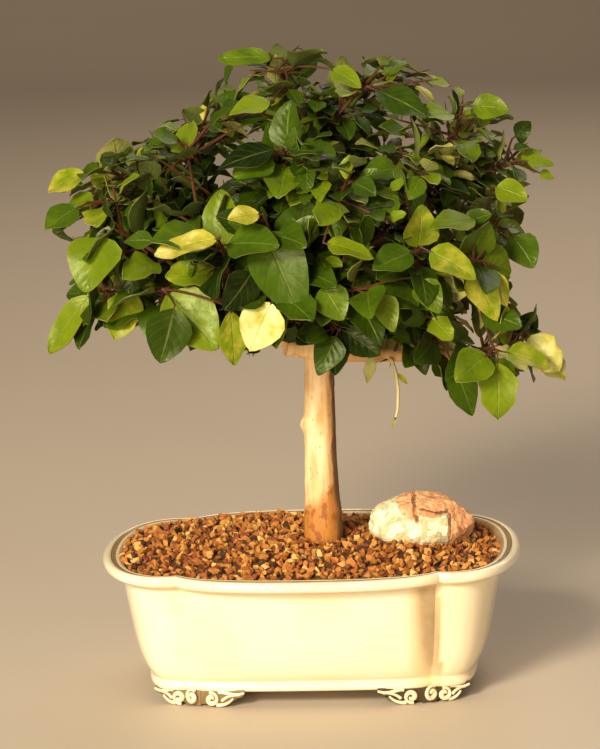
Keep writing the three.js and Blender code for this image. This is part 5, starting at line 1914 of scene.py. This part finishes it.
class BONSAI_OT_add_stage(bpy.types.Operator):
    """Adds the pale floor, the soft studio lights and the camera"""
    bl_idname = "bonsai.add_stage"
    bl_label = "Add stage"

    # The floor's half width, where its far edge lies, and how the backdrop rises from there: up and back.
    FLOOR_HALF = 6
    FLOOR_BACK = 2.4
    BACKDROP = ((0.05, 0.35), (0.25, 0.3), (0.5, 0.2), (3, 0.1))
    # The place that the lights point at.
    LIT = Vector((0, 0, 0.16))
    FRAME_HEIGHT = 749
    SENSOR = 36
    PIXELS_PER_MM = 2.06

    def execute(self, context):
        settings = context.scene.bonsai_stage
        self.floor(settings)
        self.lights(context.scene)
        self.camera(context.scene, settings)
        return {"FINISHED"}

    def floor(self, settings):
        """A floor that curves up behind the tree."""
        bm = bmesh.new()
        bmesh.ops.create_grid(bm, x_segments=1, y_segments=1, size=self.FLOOR_HALF)
        back = [edge for edge in bm.edges if all(vert.co.y > 0 for vert in edge.verts)]
        bmesh.ops.translate(bm, verts=back[0].verts[:], vec=(0, self.FLOOR_BACK - self.FLOOR_HALF, 0))
        for rise, run in self.BACKDROP:
            grown = bmesh.ops.extrude_edge_only(bm, edges=back)["geom"]
            back = only(BMEdge, grown)
            bmesh.ops.translate(bm, verts=only(BMVert, grown), vec=(0, run, rise))
        for face in bm.faces:
            face.smooth = True
        mesh = mesh_of(bm, "studio_floor")
        mesh.materials.append(floor_material(settings))
        floor = linked("studio_floor", mesh)

    def lights(self, scene):
        """A warm key and a low light from the front left, a weak fill, a back light, and a dim studio."""
        scene.view_settings.view_transform = "Standard"
        world = bpy.data.worlds.new("studio")
        world.use_nodes = True
        background = world.node_tree.nodes["Background"]
        background.inputs["Color"].default_value = (0.74, 0.65, 0.58, 1)
        background.inputs["Strength"].default_value = 0.2
        scene.world = world
        # Each light's name, place, width, power and colour.
        rows = [
            ("key_light", (-0.72, -1.46, 1.02), 0.45, 44, (1, 0.9, 0.7)),
            ("low_light", (-0.5, -1.6, 0.4), 0.5, 13, (1, 0.88, 0.68)),
            ("fill_light", (1.25, -1, 0.75), 0.8, 4, (1, 0.88, 0.68)),
            ("back_light", (0.5, 1.2, 1.45), 1.4, 13, (1, 0.9, 0.78)),
        ]
        for name, place, size, power, colour in rows:
            light = bpy.data.lights.new(name, "AREA")
            light.size = size
            light.energy = power
            light.color = colour
            lamp = linked(name, light)
            lamp.location = place
            lamp.rotation_euler = (self.LIT - Vector(place)).to_track_quat("-Z", "Y").to_euler()

    def camera(self, scene, settings):
        azimuth, tilt = settings.azimuth, settings.tilt
        back = camera_back(settings)
        right = Vector((math.cos(azimuth), math.sin(azimuth), 0))
        up = back.cross(right)
        right, up = right * math.cos(tilt) + up * math.sin(tilt), up * math.cos(tilt) - right * math.sin(tilt)
        data = bpy.data.cameras.new("photo camera")
        data.sensor_width = self.SENSOR
        distance = settings.distance / MM
        data.lens = self.PIXELS_PER_MM * distance / self.FRAME_HEIGHT * self.SENSOR
        data.clip_end = 50
        camera = linked("photo_camera", data)
        camera.matrix_world = axes_matrix(right, up, back, TO_METRES @ (CAMERA_AIM + back * distance))
        scene.camera = camera


OPERATORS = [
    BONSAI_OT_add_pot, BONSAI_OT_add_gravel, BONSAI_OT_add_stone, BONSAI_OT_add_wood, BONSAI_OT_add_sprays,
    BONSAI_OT_add_small_leaves, BONSAI_OT_add_front_leaves, BONSAI_OT_add_hanging_shoot,
    BONSAI_OT_dress_drain_mesh, BONSAI_OT_add_stage,
]


class BONSAI_PT_panel(bpy.types.Panel):
    """Lists the steps and their settings"""
    bl_idname = "BONSAI_PT_panel"
    bl_label = "Bonsai"
    bl_space_type = "VIEW_3D"
    bl_region_type = "UI"
    bl_category = "Bonsai"

    def draw(self, context):
        for name, group in SETTINGS.items():
            box = self.layout.box()
            box.label(text=group.__doc__)
            for field in group.__annotations__:
                box.prop(getattr(context.scene, name), field)
        for operator in OPERATORS:
            self.layout.operator(operator.bl_idname)


def register():
    for group in SETTINGS.values():
        bpy.utils.register_class(group)
    for name, group in SETTINGS.items():
        setattr(bpy.types.Scene, name, bpy.props.PointerProperty(type=group))
    for operator in OPERATORS:
        bpy.utils.register_class(operator)
    bpy.utils.register_class(BONSAI_PT_panel)


def unregister():
    bpy.utils.unregister_class(BONSAI_PT_panel)
    for operator in reversed(OPERATORS):
        bpy.utils.unregister_class(operator)
    for name, group in SETTINGS.items():
        delattr(bpy.types.Scene, name)
        bpy.utils.unregister_class(group)


def main():
    register()
    bpy.ops.bonsai.add_stage()
    bpy.ops.bonsai.add_pot()
    bpy.ops.bonsai.add_gravel()
    bpy.ops.bonsai.add_stone()
    bpy.ops.bonsai.add_wood()
    bpy.ops.bonsai.add_sprays()
    bpy.ops.bonsai.add_small_leaves()
    bpy.ops.bonsai.add_front_leaves()
    bpy.ops.bonsai.add_hanging_shoot()
    bpy.ops.bonsai.dress_drain_mesh()


if __name__ == "__main__":
    main()
